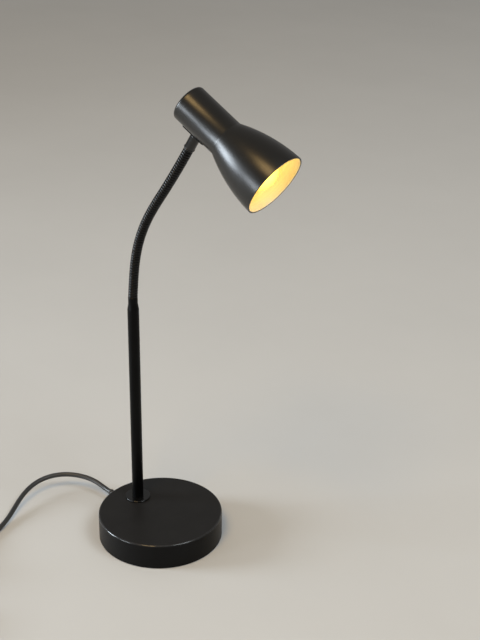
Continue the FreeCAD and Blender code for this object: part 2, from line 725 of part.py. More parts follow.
def stem_pieces():
    """Collar, stem tube with its bush, and the pipe that clamps them."""
    at_stem = FreeCAD.Placement(V(size(STEM_PLACE), 0, 0), FreeCAD.Rotation())
    collar = turned("stem_collar", [
        ("nipple_radius + thread_gap", "base_height"),
        ("collar_radius", "base_height"),
        ("collar_radius", f"{STEM_LOW} - collar_edge"),
        ("collar_radius - collar_edge", STEM_LOW),
        ("nipple_radius + thread_gap", STEM_LOW)])
    keep("stem_collar", collar, at_stem)

    inside = "(stem_radius - stem_wall)"
    swage = "(stem_top - swage_length)"
    stem = turned("stem_tube", [
        (inside, STEM_LOW),
        ("stem_radius", STEM_LOW),
        ("stem_radius", swage),
        ("neck_radius", f"{swage} + swage_length / 2"),
        ("neck_radius", "stem_top"),
        ("socket_radius", "stem_top"),
        ("socket_radius", f"{swage} + swage_length / 2"),
        (inside, swage)])
    keep("stem_tube", stem, at_stem)

    bush = turned("stem_bush", [
        ("nipple_radius + thread_gap", STEM_LOW),
        (f"{inside} - bush_gap", STEM_LOW),
        (f"{inside} - bush_gap", f"{STEM_LOW} + bush_length"),
        ("nipple_radius + thread_gap", f"{STEM_LOW} + bush_length")])
    keep("stem_bush", bush, at_stem)

    pipe = turned("stem_nipple", [
        ("nipple_bore", NIPPLE_LOW),
        ("nipple_radius", NIPPLE_LOW),
        ("nipple_radius", f"{STEM_LOW} + bush_length"),
        ("nipple_bore", f"{STEM_LOW} + bush_length")])
    keep("stem_nipple", pipe, at_stem)

    washer = turned("stem_washer", [
        ("nipple_radius + thread_gap", NUT_TOP),
        ("washer_radius", NUT_TOP),
        ("washer_radius", "weight_low"),
        ("nipple_radius + thread_gap", "weight_low")])
    keep("stem_washer", washer, at_stem)

    low = f"{NUT_TOP} - nut_height"
    nut = cut("stem_nut",
              hexagon("stem_nut_blank", "nut_flats", "nut_height", low=low),
              solid_rod("stem_nut_bore", "nipple_radius + thread_gap",
                        "nut_height", low=low))
    keep("stem_nut", nut, at_stem)


def cord_entry_pieces():
    """Cord bush in the drum wall, cord clamp and terminal block."""
    lip_in = f"({WALL_PLACE} + cover_wall + gland_lip)"
    bore = "cord_radius + cord_fit"
    blank = turned("gland_blank", [
        (TAIL_END, bore),
        (TAIL_END, "gland_tip"),
        (FLANGE_OUT, "gland_neck"),
        (FLANGE_OUT, "gland_flange"),
        (lip_in, "gland_flange"),
        (lip_in, bore)], axis="H_Axis")
    bind(blank, Placement_at_Base_at_z="gland_rise")
    ring = cut("gland_wall_ring",
               solid_rod("gland_wall_out", "base_radius", "base_height"),
               solid_rod("gland_wall_in", COVER_INSIDE, "base_height"),
               level_rod("gland_wall_hole", "gland_neck", "base_radius",
                         "-base_radius - 1", up="gland_rise"))
    keep("cord_bush", cut("cord_bush", blank, ring))

    bar_low = f"({CLAMP_TOP} - clamp_thickness)"
    place = (CLAMP_PLACE, "0")
    screws = [(CLAMP_PLACE, f"{sign}clamp_screw_side") for sign in "+-"]
    bar = cut("cord_clamp",
              solid_box("clamp_bar", "clamp_width", "clamp_span",
                        "clamp_thickness", place, bar_low),
              level_rod("clamp_groove", bore, "2 * clamp_width",
                        f"{CLAMP_PLACE} - clamp_width", up="gland_rise"),
              *[solid_rod(f"clamp_hole_{n}", "clamp_screw_radius + thread_gap",
                          "clamp_thickness", spot, bar_low)
                for n, spot in enumerate(screws)])
    keep("cord_clamp", bar)
    pieces = []
    for number, spot in enumerate(screws):
        pieces.append(solid_rod(f"clamp_screw_head_{number}", "clamp_screw_head",
                                "clamp_screw_rise", spot,
                                f"{bar_low} - clamp_screw_rise"))
        pieces.append(solid_rod(f"clamp_screw_shank_{number}",
                                "clamp_screw_radius",
                                f"{SEAT_LOW} + clamp_screw_depth - {bar_low}",
                                spot, bar_low))

    middle = f"({BLOCK_REAR} + block_length / 2)"
    block_low = "(weight_low - block_height)"
    ways = [f"{sign}block_pitch / 2" for sign in "+-"]
    holes = [level_rod(f"block_way_{n}", "block_bore", "2 * block_length",
                       f"{BLOCK_REAR} - block_length / 2", way, "gland_rise")
             for n, way in enumerate(ways)]
    taps = []
    for number, way in enumerate(ways):
        for end, sign in enumerate("+-"):
            spot = (f"{middle} {sign} block_length / 4", way)
            taps.append((f"{number}{end}", spot))
    tap_depth = f"(gland_rise - {block_low})"
    tap_holes = [solid_rod(f"block_tap_{name}", "block_screw + thread_gap",
                           tap_depth, spot, block_low) for name, spot in taps]
    fixing = solid_rod("block_fixing_hole", "clamp_screw_radius + thread_gap",
                       "block_height", (middle, "0"), block_low)
    block = cut("terminal_block",
                solid_box("block_blank", "block_length", "block_width",
                          "block_height", (middle, "0"), block_low),
                *holes, *tap_holes, fixing)
    keep("terminal_block", block)
    tips = [solid_rod(f"block_screw_{name}", "block_screw",
                      f"{tap_depth} - block_bore", spot, block_low)
            for name, spot in taps]
    head = solid_rod("block_fixing_head", "clamp_screw_head", "clamp_screw_rise",
                     (middle, "0"), f"{block_low} - clamp_screw_rise")
    shank = solid_rod("block_fixing_shank", "clamp_screw_radius",
                      "block_height + clamp_screw_depth", (middle, "0"),
                      block_low)
    keep("base_small_screws",
         joined("base_small_screws", *pieces, *tips, head, shank))


def stem_wires():
    """Two wires from the cord to the block, and on up the stem."""
    rise = size("gland_rise")
    bow_rise = rise - size("wire_bow_dip")
    sheath = size(SHEATH_END)
    rear = size(BLOCK_REAR)
    front = rear + size("block_length")
    foot = size(STEM_PLACE)
    low = size("wire_low")
    top = size("stem_top") - size("swage_length")
    radius = size("wire_radius")
    grip = size("block_grip")
    solids = []
    for side in (1, -1):
        way = side * size("block_pitch") / 2
        gap = side * size("wire_spread") / 2
        bow = side * size("wire_bow_side")
        supply = [V(sheath, gap, rise),
                  V(sheath + size("wire_lead"), gap, rise),
                  V(foot - size("wire_bow"), bow, bow_rise),
                  V(foot + size("wire_bow"), bow, bow_rise),
                  V(rear - size("wire_run"), way, rise),
                  V(rear + grip, way, rise)]
        lead = [V(front - grip, way, rise),
                V(front + size("loop_run"), way, rise),
                V(front + size("loop_front"), side * size("loop_front_side"),
                  rise - size("loop_front_dip")),
                V(front + size("loop_turn"), side * size("loop_turn_side"), low),
                V(front - size("loop_back"), side * size("loop_back_side"), low),
                V(foot + size("loop_foot"), side * size("loop_foot_side"), low),
                V(foot, side * size("loop_end_side"), low),
                V(foot, gap, low),
                V(foot, gap, low + size("wire_climb"))]
        solids.append(swept(bend_points(supply)[0], radius)[0])
        edges = bend_points(lead)[0]
        edges.append(Part.LineSegment(lead[-1], V(foot, gap, top)).toShape())
        solids.append(swept(edges, radius)[0])
    wires = doc.addObject("Part::Feature", "stem_wires")
    wires.Shape = Part.Compound(solids)
    keep("stem_wires", wires)


# The neck

def link_leans():
    """Lean of each link from the vertical: an even bend, then a slight fall."""
    count = int(size("link_count"))
    first = size("bend_first")
    last = size("bend_last")
    leans = []
    for number in range(count):
        share = min(max((number - first) / (last - first), 0.0), 1.0)
        smooth = share * share * (3 - 2 * share)
        fall = min(max((number - last) / (count - 1 - last), 0.0), 1.0)
        rise = size("lean_peak") - size("lean_start")
        leans.append(size("lean_start") + rise * smooth
                     - (size("lean_peak") - size("lean_end")) * fall)
    return leans


def neck_places():
    """Placement of each link, with its bending point as its origin, and the
    placement of the neck's upper end."""
    yaw = FreeCAD.Rotation(V(0, 0, 1), size("bend_yaw"))
    point = V(size(STEM_PLACE), 0, size("stem_top") + size("link_gap") / 2)
    places = []
    for lean in link_leans():
        turn = yaw.multiply(FreeCAD.Rotation(V(0, 1, 0), lean))
        places.append(FreeCAD.Placement(point, turn))
        point = point + turn.multVec(V(0, 0, size("link_pitch")))
    return places, FreeCAD.Placement(point, places[-1].Rotation)


def neck_link(name):
    """A ribbed sleeve with a spigot below and a socket above. Its origin is the
    bending point at its lower end."""
    low = "link_gap / 2"
    high = "(link_pitch - link_gap / 2)"
    pitch = "(link_pitch / ribs_per_link)"
    slope = "(neck_radius - neck_root) / rib_flank"
    end_radius = f"neck_root + {slope} * link_gap / 2"
    corners = [("neck_bore", "-nose_reach"),
               ("nose_radius", "-nose_reach"),
               ("nose_radius", low),
               (end_radius, low)]
    count = int(size("ribs_per_link"))
    for rib in range(count):
        if rib:
            corners.append(("neck_root", f"{rib} * {pitch}"))
        corners.append(("neck_radius", f"{rib} * {pitch} + rib_flank"))
        corners.append(("neck_radius", f"{rib + 1} * {pitch} - rib_flank"))
    corners += [(end_radius, high),
                ("socket_radius", high),
                ("socket_radius", "link_pitch - socket_reach"),
                ("neck_bore", "link_pitch - socket_reach")]
    return turned(name, corners)


def neck_pieces():
    """The chain of links and the sleeve at its upper end."""
    places, end = neck_places()
    for number, place in enumerate(places, start=1):
        name = f"neck_link_{number:02d}"
        keep(name, neck_link(name), place)

    seat = "(-link_gap / 2)"
    bead = "(ferrule_bead_width)"
    pivot_hole = "pivot_radius + thread_gap"
    ferrule = turned("neck_ferrule", [
        ("neck_bore", "-socket_reach"),
        ("socket_radius - ferrule_fit", "-socket_reach"),
        ("socket_radius - ferrule_fit", seat),
        ("ferrule_bead", seat),
        ("ferrule_bead", f"{seat} + {bead}"),
        ("ferrule_radius", f"{seat} + {bead}"),
        ("ferrule_radius", "ferrule_length"),
        (pivot_hole, "ferrule_length"),
        (pivot_hole, PIVOT_LOW),
        ("neck_bore", PIVOT_LOW)])
    keep("neck_ferrule", ferrule, end)

    ring_top = "(ferrule_length + ring_thickness)"
    ring = turned("swivel_ring", [
        (pivot_hole, "ferrule_length"),
        ("ring_radius", "ferrule_length"),
        ("ring_radius", ring_top),
        (pivot_hole, ring_top)])
    keep("swivel_ring", ring, end)

    spring_low = f"({HEAD_RISE} + {SPRING_LOW})"
    nut_low = f"({spring_low} + spring_thickness)"
    pivot_top = f"({HEAD_RISE} + {PIVOT_TOP})"
    pivot = turned("swivel_pivot", [
        ("pivot_bore", PIVOT_LOW),
        ("pivot_radius", PIVOT_LOW),
        ("pivot_radius", pivot_top),
        ("pivot_bore", pivot_top)])
    keep("swivel_pivot", pivot, end)
    spring = turned("swivel_spring", [
        (pivot_hole, spring_low),
        ("spring_radius", spring_low),
        ("spring_radius", nut_low),
        (pivot_hole, nut_low)])
    keep("swivel_spring", spring, end)
    nut = cut("swivel_nut",
              hexagon("swivel_nut_blank", "pivot_nut_flats", "pivot_nut_height",
                      low=nut_low),
              solid_rod("swivel_nut_bore", pivot_hole, "pivot_nut_height",
                        low=nut_low))
    keep("swivel_nut", nut, end)


# The head, drawn with its axis along X and the neck's axis along Z

def head_place():
    """Where the head's axis crosses the neck's axis."""
    end = neck_places()[1]
    rise = end.Rotation.multVec(V(0, 0, size(HEAD_RISE)))
    return FreeCAD.Placement(end.Base + rise, end.Rotation)


def head_pieces():
    """Spun shell, curved plate, curved washer and lampholder bracket."""
    place = head_place()
    shell = turned("head_shell", [
        ("-head_rear", "0"),
        ("-head_rear", "head_radius"),
        ("head_crease", "head_radius", "bell_arc", "left"),
        ("head_mouth", "mouth_radius"),
        ("head_mouth", "mouth_radius - head_wall", "bell_arc", "right"),
        ("head_crease", SHELL_INSIDE),
        ("-head_rear + head_wall", SHELL_INSIDE),
        ("-head_rear + head_wall", "0")], axis="H_Axis")
    rear = -size("head_rear")
    dressed(shell, "Fillet",
            lambda b: b.XMax < rear + 0.01 and b.ZLength > 1, "head_edge")
    crease = size("head_crease")
    dressed(shell, "Fillet",
            lambda b: abs(b.XMax - crease) < 0.01 and b.XLength < 0.01,
            "crease_blend")
    hole = new_sketch(shell, "XY_Plane", "pivot_circle")
    draw_circles(hole, [("0", "0", "pivot_radius + swivel_gap")])
    pocket = shell.newObject("PartDesign::Pocket", "pivot_hole")
    pocket.Profile = hole
    pocket.Type = 1
    doc.recompute()
    keep("head_shell", shell, place)

    seat = "(head_radius + saddle_seat)"
    drop = f"(-{seat} - saddle_thickness)"
    hole = "pivot_radius + swivel_gap"
    band = cut("saddle_band",
               level_rod("saddle_out", f"{seat} + saddle_thickness",
                         "saddle_length", "-saddle_length / 2"),
               level_rod("saddle_in", seat, "saddle_length",
                         "-saddle_length / 2"))
    outline = extruded("saddle_outline_block", draw_outline,
                       rounded("saddle_length", "saddle_width",
                               "saddle_corner"),
                       seat, drop)
    saddle = cut("saddle_plate", shared("saddle_blank", band, outline),
                 solid_rod("saddle_hole", hole, seat, low=drop))
    keep("saddle_plate", saddle, place)

    shoe_top = "(-shoe_drop)"
    shoe = cut("shoe_washer",
               shared("shoe_blank",
                      solid_rod("shoe_disc", "shoe_radius",
                                f"{SHELL_INSIDE} - shoe_drop",
                                low=f"(-{SHELL_INSIDE})"),
                      level_rod("shoe_bed", f"{SHELL_INSIDE} - saddle_seat",
                                "4 * shoe_radius", "-2 * shoe_radius")),
               solid_rod("shoe_hole", hole, SHELL_INSIDE,
                         low=f"(-{SHELL_INSIDE})"))
    keep("shoe_washer", shoe, place)

    leg_top = f"({shoe_top} + bracket_thickness)"
    strip = doc.addObject("PartDesign::Body", "holder_bracket")
    side = new_sketch(strip, "XZ_Plane", "bracket_side")
    draw_outline(side, [
        ("-shoe_radius", shoe_top),
        (HOLDER_REAR, shoe_top),
        (HOLDER_REAR, "bracket_rise"),
        ("bracket_reach", "bracket_rise"),
        ("bracket_reach", leg_top),
        ("-shoe_radius", leg_top)])
    pad = strip.newObject("PartDesign::Pad", "bracket_pad")
    pad.Profile = side
    pad.Midplane = True
    pad.setExpression("Length", sheet_names("bracket_width"))
    doc.recompute()
    foot = new_sketch(strip, "XY_Plane", "bracket_foot_circle")
    draw_circles(foot, [("0", "0", hole)])
    foot_hole = strip.newObject("PartDesign::Pocket", "bracket_foot_hole")
    foot_hole.Profile = foot
    foot_hole.Type = 1
    doc.recompute()
    drilled(strip, "bracket_leg_holes", "YZ_Plane",
            [(f"{sign}holder_screw_side", "0",
              "holder_screw_radius + thread_gap") for sign in "+-"])
    keep("holder_bracket", strip, place)


def rounded(length, width, corner):
    """Corners of a rectangle with round corners about the origin."""
    half = f"({length}) / 2"
    wide = f"({width}) / 2"
    return [(f"-{half} + {corner}", f"-{wide}"),
            (f"{half} - {corner}", f"-{wide}", corner, "right"),
            (half, f"-{wide} + {corner}"),
            (half, f"{wide} - {corner}", corner, "right"),
            (f"{half} - {corner}", wide),
            (f"-{half} + {corner}", wide, corner, "right"),
            (f"-{half}", f"{wide} - {corner}"),
            (f"-{half}", f"-{wide} + {corner}", corner, "right")]


def lampholder_pieces():
    """Barrel, screw shell, centre contact, screws and wires."""
    place = head_place()
    shell_out = f"({SHELL_RADIUS} + shell_wall)"
    throat = "(holder_front - holder_throat)"
    barrel = turned("lampholder", [
        (HOLDER_REAR, "0"),
        (HOLDER_REAR, "holder_radius"),
        ("holder_front - holder_skirt_width", "holder_radius"),
        ("holder_front - holder_skirt_width", "holder_skirt"),
        ("holder_front", "holder_skirt"),
        ("holder_front", "holder_throat_radius"),
        (throat, "holder_throat_radius"),
        (throat, f"{shell_out} + thread_gap"),
        ("holder_floor", f"{shell_out} + thread_gap"),
        ("holder_floor", "0")], axis="H_Axis")
    pocketed(barrel, "holder_taps", "YZ_Plane", draw_circles,
             [(f"{sign}holder_screw_side", "0",
               "holder_screw_radius + thread_gap") for sign in "+-"],
             HOLDER_REAR, "holder_screw_depth + thread_gap")
    wire_side = "(holder_radius - 2 * wire_radius - wire_way_wall)"
    pocketed(barrel, "holder_wire_ways", "YZ_Plane", draw_circles,
             [(f"{sign}{wire_side}", "0", "wire_radius + thread_gap")
              for sign in "+-"],
             HOLDER_REAR, "holder_screw_depth")
    keep("lampholder", barrel, place)

    shell = turned("lampholder_shell", [
        (f"{throat} - shell_length", SHELL_RADIUS),
        (f"{throat} - shell_length", shell_out),
        (throat, shell_out),
        (throat, SHELL_RADIUS)], axis="H_Axis")
    strip = doc.addObject("PartDesign::Body", "lampholder_contact")
    side = new_sketch(strip, "XZ_Plane", "contact_side")
    half = "(tongue_width / 2)"
    draw_outline(side, [
        ("holder_floor", half),
        ("holder_floor", f"-{half} - tongue_thickness"),
        (CAP_END, f"-{half} - tongue_thickness"),
        (CAP_END, half),
        (f"{CAP_END} - tongue_thickness", half),
        (f"{CAP_END} - tongue_thickness", f"-{half}"),
        ("holder_floor + tongue_thickness", f"-{half}"),
        ("holder_floor + tongue_thickness", half)])
    pad = strip.newObject("PartDesign::Pad", "contact_pad")
    pad.Profile = side
    pad.Midplane = True
    pad.setExpression("Length", sheet_names("tongue_width"))
    doc.recompute()
    keep("lampholder_contacts", joined("lampholder_contacts", shell, strip),
         place)

    screws = []
    for number, sign in enumerate("+-"):
        beside = f"{sign}holder_screw_side"
        screws.append(level_rod(f"holder_screw_head_{number}",
                                "holder_screw_head", "holder_screw_rise",
                                "bracket_reach - holder_screw_rise", beside))
        screws.append(level_rod(f"holder_screw_shank_{number}",
                                "holder_screw_radius",
                                "bracket_thickness + holder_screw_depth",
                                "bracket_reach", beside))
    keep("lampholder_screws", joined("lampholder_screws", *screws), place)

    radius = size("wire_radius")
    gap = size("wire_spread") / 2
    start = size(PIVOT_TOP)
    solids = []
    for sign in (1, -1):
        entry = V(size(HOLDER_REAR), sign * size(wire_side), 0)
        route = [V(0, sign * gap, start),
                 V(0, sign * gap, start + 4),
                 V(-4, sign * 5, -0.8),
                 V(-1, sign * size(wire_side), 0),
                 entry]
        solids.append(swept(bend_points(route)[0], radius)[0])
    wires = doc.addObject("Part::Feature", "head_wires")
    wires.Shape = Part.Compound(solids)
    keep("head_wires", wires, place)


def bulb_pieces():
    """Small globe bulb: glass, screw cap, insulator and end contact."""
    place = head_place()
    cap_front = f"({CAP_END} + cap_length)"
    centre = "(head_mouth - bulb_inset - bulb_radius)"
    tip = "(head_mouth - bulb_inset)"
    meet = f"({cap_front} + glass_throat)"
    meet_radius = (f"sqrt(bulb_radius * bulb_radius"
                   f" - ({centre} - {meet}) * ({centre} - {meet}))")
    inner = "(bulb_radius - glass_wall)"
    inner_radius = (f"sqrt({inner} * {inner}"
                    f" - ({centre} - {meet}) * ({centre} - {meet}))")
    glass = turned("bulb_glass", [
        (cap_front, "glass_neck", "glass_neck_arc", "right"),
        (meet, meet_radius, "bulb_radius", "left"),
        (tip, "0"),
        (f"{tip} - glass_wall", "0", inner, "right"),
        (meet, inner_radius, "glass_neck_arc", "left"),
        (cap_front, "glass_neck - glass_wall")], axis="H_Axis")
    keep("bulb_glass", glass, place)

    skirt = f"({cap_front} - cap_skirt)"
    base = f"({CAP_END} + cap_insulator)"
    cap = turned("cap_sheet", [
        (base, "cap_radius - cap_wall"),
        (base, "cap_radius"),
        (skirt, "cap_radius"),
        (cap_front, "cap_skirt_radius"),
        (cap_front, "cap_skirt_radius - 2 * cap_wall"),
        (skirt, "cap_radius - cap_wall")], axis="H_Axis")
    seat = f"({CAP_END} + cap_contact_rise)"
    insulator = turned("cap_insulator_disc", [
        (seat, "0"),
        (seat, "cap_contact + cap_contact_rise"),
        (base, "cap_radius"),
        (base, "0")], axis="H_Axis")
    contact = turned("cap_contact_button", [
        (CAP_END, "0"),
        (CAP_END, "cap_contact - cap_contact_rise / 2"),
        (seat, "cap_contact"),
        (seat, "0")], axis="H_Axis")
    keep("bulb_cap", joined("bulb_cap", cap, insulator, contact), place)


# The cord, its switch and its plug

SWITCH_MIDDLE = V(-118.0, -253.0, 0.0)
SWITCH_TURN = -90.0
COIL_START = V(-41.0, -356.0, 0.0)
PLUG_FRONT = V(92.0, -348.0, 0.0)
PLUG_TURN = 0.0


def cord_pieces():
    """The cord from the base to the switch, the put-away turns and the plug."""
    radius = size("cord_radius")
    rise = size("gland_rise")
    inner = doc.addObject("Part::Cylinder", "cord_inner")
    inner.Placement = FreeCAD.Placement(V(0, 0, 0), FreeCAD.Rotation(V(0, 1, 0), 90))
    bind(inner, Radius="cord_radius", Height=f"{SHEATH_END} - {TAIL_END}",
         Placement_at_Base_at_x=TAIL_END, Placement_at_Base_at_z="gland_rise")
    keep("cord_inner", inner)

    seam = size("switch_split")
    reach = size("switch_length / 2 - cord_in_switch")
    entry = SWITCH_MIDDLE + V(0, reach, seam)
    out = SWITCH_MIDDLE + V(0, -reach, seam)
    tail = size(TAIL_END)
    first = [V(tail, 0, rise),
             V(tail - 11.5, 0, rise),
             V(-123.0, -2.6, 16.9),
             V(-138.0, -7.6, 19.0),
             V(-154.0, -17.0, 19.9),
             V(-166.5, -31.1, 20.0),
             V(-173.2, -49.8, 18.9),
             V(-172.8, -69.5, 15.9),
             V(-166.6, -88.2, 12.0),
             V(-157.3, -105.4, 7.8),
             V(-147.2, -122.4, 4.6),
             V(-138.2, -141.0, radius),
             V(-129.5, -161.5, radius),
             V(-122.0, -184.0, 5.8),
             entry + V(0, 20, 0),
             entry]
    run, length_one = tube("cord_to_switch", first, radius)
    keep("cord_to_switch", run)

    second = [out,
              out + V(0, -18, 0),
              out + V(2, -38, -3.9),
              out + V(12, -56, radius - seam),
              V(-87, -351.5, radius),
              V(-63, COIL_START.y, radius),
              COIL_START + V(0, 0, radius)]
    run, length_two = tube("cord_to_coil", second, radius)
    keep("cord_to_coil", run)

    coil, coil_end, length_coil = coil_shape(radius)
    keep("cord_coil", coil)

    relief_tip = (PLUG_FRONT + V(-size("plug_length + relief_length"), 0,
                                 size("plug_height") / 2))
    last = [coil_end,
            coil_end + V(14, 0, 0),
            coil_end + V(30, 3, -1.5),
            relief_tip + V(-14, 0, 0),
            relief_tip]
    run, length_three = tube("cord_to_plug", last, radius)
    keep("cord_to_plug", run)
    total = (length_one + length_two + length_coil + length_three
             + size("switch_length - 2 * cord_in_switch")
             + size(f"{SHEATH_END} - {TAIL_END}"))
    print("cord in all", round(total))


def coil_shape(radius):
    """Turns that spiral in on one layer and out again on a second. Each half
    turn is a half circle, and the last inward one climbs to the upper layer."""
    straight = 2 * radius
    start = COIL_START + V(0, 0, radius)
    point = start + V(straight, 0, 0)
    edges = [Part.LineSegment(start, point).toShape()]
    step = size("coil_step") / 2
    inward = int(size("coil_half_turns"))
    turns = [size("coil_radius") - step * k for k in range(inward + 1)]
    turns += list(reversed(turns[1:inward]))
    heading = V(1, 0, 0)
    side = V(0, 1, 0)
    for number, turn in enumerate(turns):
        climb = size("coil_rise") if number == inward else 0.0
        across = side * (2 * turn) + V(0, 0, climb)
        after = point + across
        half = across.Length / 2
        top = point + across * 0.5 + heading * half
        quarter = math.sqrt(0.5)
        outward = across.normalize()
        middle = point + outward * half
        first = middle + (heading - outward) * (half * quarter)
        second = middle + (heading + outward) * (half * quarter)
        edges.append(Part.Arc(point, first, top).toShape())
        edges.append(Part.Arc(top, second, after).toShape())
        point = after
        heading = heading * -1
        side = side * -1
    end = point + heading * straight
    edges.append(Part.LineSegment(point, end).toShape())
    shape, length = swept(edges, radius)
    print("cord_coil length", round(length, 1), "least gap",
          round(least_gap(edges, radius), 2))
    feature = doc.addObject("Part::Feature", "cord_coil")
    feature.Shape = shape
    return feature, end, length


def least_gap(edges, radius):
    """Least gap of a wound tube to itself, measured between points that lie
    more than a quarter turn apart along it."""
    points = []
    places = []
    along = 0.0
    spacing = radius / 3
    for edge in edges:
        count = max(2, int(edge.Length / spacing))
        for number in range(count):
            points.append(edge.valueAt(
                edge.FirstParameter
                + (edge.LastParameter - edge.FirstParameter) * number / count))
            places.append(along + edge.Length * number / count)
        along += edge.Length
    apart = 8 * radius
    least = 1e9
    for number, point in enumerate(points):
        for other in range(number + 1, len(points)):
            if places[other] - places[number] < apart:
                continue
            gap = (points[other] - point).Length
            least = min(least, gap)
    return least - 2 * radius


def switch_place():
    """The cord switch lies on the table across the cord's way."""
    return FreeCAD.Placement(SWITCH_MIDDLE,
                             FreeCAD.Rotation(V(0, 0, 1), SWITCH_TURN))


def switch_half(name, low, high, outer_edge):
    """One half of the switch's case, with its bosses and cord notches."""
    thick = f"({high} - {low})"
    body = extruded(name, draw_outline,
                    rounded("switch_length", "switch_width", "switch_corner"),
                    thick, low)
    edge = size(outer_edge)
    dressed(body, "Fillet",
            lambda b: abs(b.ZMin - edge) < 0.01 and abs(b.ZMax - edge) < 0.01,
            "switch_edge")
    inside = rounded("switch_length - 2 * switch_wall",
                     "switch_width - 2 * switch_wall",
                     "(switch_corner - switch_wall)")
    if outer_edge == high:
        pocketed(body, name + "_hollow", "XY_Plane", draw_outline, inside, low,
                 f"{thick} - switch_wall")
    else:
        pocketed(body, name + "_hollow", "XY_Plane", draw_outline, inside, high,
                 f"{thick} - switch_wall", up=False)
    boss = new_sketch(body, "XY_Plane", name + "_boss_circles")
    boss.setExpression("AttachmentOffset.Base.z", sheet_names(low))
    spots = case_screw_spots()
    draw_circles(boss, [(x, y, "case_boss") for x, y in spots])
    pad = body.newObject("PartDesign::Pad", name + "_bosses")
    pad.Profile = boss
    pad.setExpression("Length", sheet_names(thick))
    doc.recompute()
    cord = new_sketch(body, "YZ_Plane", name + "_cord_circle")
    draw_circles(cord, [("0", "switch_split", "cord_radius + cord_fit")])
    notch = body.newObject("PartDesign::Pocket", name + "_cord_way")
    notch.Profile = cord
    notch.Type = 1
    notch.Midplane = True
    doc.recompute()
    return body


def case_screw_spots():
    """The two screws lie at opposite corners of the case."""
    return [("case_screw_place", "case_screw_side"),
            ("-case_screw_place", "-case_screw_side")]


def switch_pieces():
    """Case halves, rocker with its pin, contacts and screws."""
    place = switch_place()
    lower = switch_half("switch_case_lower", "0", "switch_split", "0")
    drilled(lower, "lower_screw_holes", "XY_Plane",
            [(x, y, "case_screw_radius + thread_gap")
             for x, y in case_screw_spots()])
    pocketed(lower, "lower_screw_sinks", "XY_Plane", draw_circles,
             [(x, y, "case_screw_head + thread_gap")
              for x, y in case_screw_spots()],
             "0", "case_screw_rise + case_screw_sink")
    keep("switch_case_lower", lower, place)

    upper = switch_half("switch_case_upper", "switch_split", "switch_height",
                        "switch_height")
    cheek_low = "(rocker_pivot - 2 * rocker_pin)"
    for sign, word in ((1, "left"), (-1, "right")):
        across = "(rocker_width / 2 + rocker_gap + rocker_cheek / 2)"
        cheek = new_sketch(upper, "XY_Plane", f"cheek_{word}_outline")
        cheek.setExpression("AttachmentOffset.Base.z", sheet_names(cheek_low))
        beside = across if sign == 1 else f"(-{across})"
        draw_outline(cheek, rectangle("0", beside, "5 * rocker_pin",
                                      "rocker_cheek"))
        pad = upper.newObject("PartDesign::Pad", f"cheek_{word}")
        pad.Profile = cheek
        pad.setExpression("Length", sheet_names(
            f"switch_height - switch_wall - {cheek_low}"))
        doc.recompute()
    hole = new_sketch(upper, "XZ_Plane", "pin_circle")
    draw_circles(hole, [("0", "rocker_pivot", "rocker_pin + thread_gap")])
    pin_hole = upper.newObject("PartDesign::Pocket", "pin_hole")
    pin_hole.Profile = hole
    pin_hole.Midplane = True
    pin_hole.setExpression("Length", sheet_names(PIN_SPAN))
    doc.recompute()
    window = rectangle("0", "0", f"2 * {ROCKER_END} + 2 * rocker_gap",
                       "rocker_width + 2 * rocker_gap")
    pocketed(upper, "rocker_window", "XY_Plane", draw_outline, window,
             "switch_height - 2 * switch_wall", "3 * switch_wall")
    pocketed(upper, "upper_screw_taps", "XY_Plane", draw_circles,
             [(x, y, "case_screw_radius + thread_gap")
              for x, y in case_screw_spots()],
             "switch_split", "switch_height - switch_split - 2 * switch_wall")
    keep("switch_case_upper", upper, place)

    rocker_pieces(place)

    screws = []
    for number, (x, y) in enumerate(case_screw_spots()):
        screws.append(solid_rod(f"case_screw_head_{number}", "case_screw_head",
                                "case_screw_rise", (x, y), "case_screw_sink"))
        screws.append(solid_rod(f"case_screw_shank_{number}",
                                "case_screw_radius",
                                "switch_height - 2.5 * switch_wall"
                                " - case_screw_rise - case_screw_sink",
                                (x, y), "case_screw_rise + case_screw_sink"))
    keep("switch_screws", joined("switch_screws", *screws), place)


def rocker_pieces(place):
    """Rocker with round ends and a dished top, on a pin between two cheeks."""
    rise = "(switch_height - switch_wall - rocker_pivot)"
    reach = f"sqrt({ROCKER_END} * {ROCKER_END} + {rise} * {rise})"
    top = "(switch_height - rocker_pivot - rocker_gap)"
    disc = across_rod("rocker_disc", reach, "rocker_width")
    dish = across_rod("rocker_dish", "rocker_arc", "2 * rocker_width",
                      f"{top} + rocker_arc")
    below = solid_box("rocker_below", f"3 * {reach}", "2 * rocker_width", reach,
                      low=f"-2 * rocker_pin - {reach}")
    bore = across_rod("rocker_bore", "rocker_pin + rocker_pin_gap",
                      "2 * rocker_width")
    rocker = cut("switch_rocker", disc, dish, below, bore)
    tilt = FreeCAD.Placement(V(0, 0, size("rocker_pivot")),
                             FreeCAD.Rotation(V(0, 1, 0), size("rocker_tilt")))
    keep("switch_rocker", rocker, place.multiply(tilt))
    pin = doc.addObject("PartDesign::Body", "rocker_pin")
    ring = new_sketch(pin, "XZ_Plane", "rocker_pin_circle")
    draw_circles(ring, [("0", "0", "rocker_pin")])
    length = pin.newObject("PartDesign::Pad", "rocker_pin_length")
    length.Profile = ring
    length.Midplane = True
    length.setExpression("Length", sheet_names(PIN_SPAN))
    doc.recompute()
    up = FreeCAD.Placement(V(0, 0, size("rocker_pivot")), FreeCAD.Rotation())
    keep("rocker_pin", pin, place.multiply(up))

    floor = "switch_wall"
    strips = []
    for number, sign in enumerate("+-"):
        spot = (f"{sign}switch_length / 6", f"{sign}switch_width / 6")
        strips.append(solid_box(f"contact_strip_{number}", "switch_length / 5",
                                "tongue_width", "2 * tongue_thickness", spot,
                                floor))
    keep("switch_contacts", joined("switch_contacts", *strips), place)


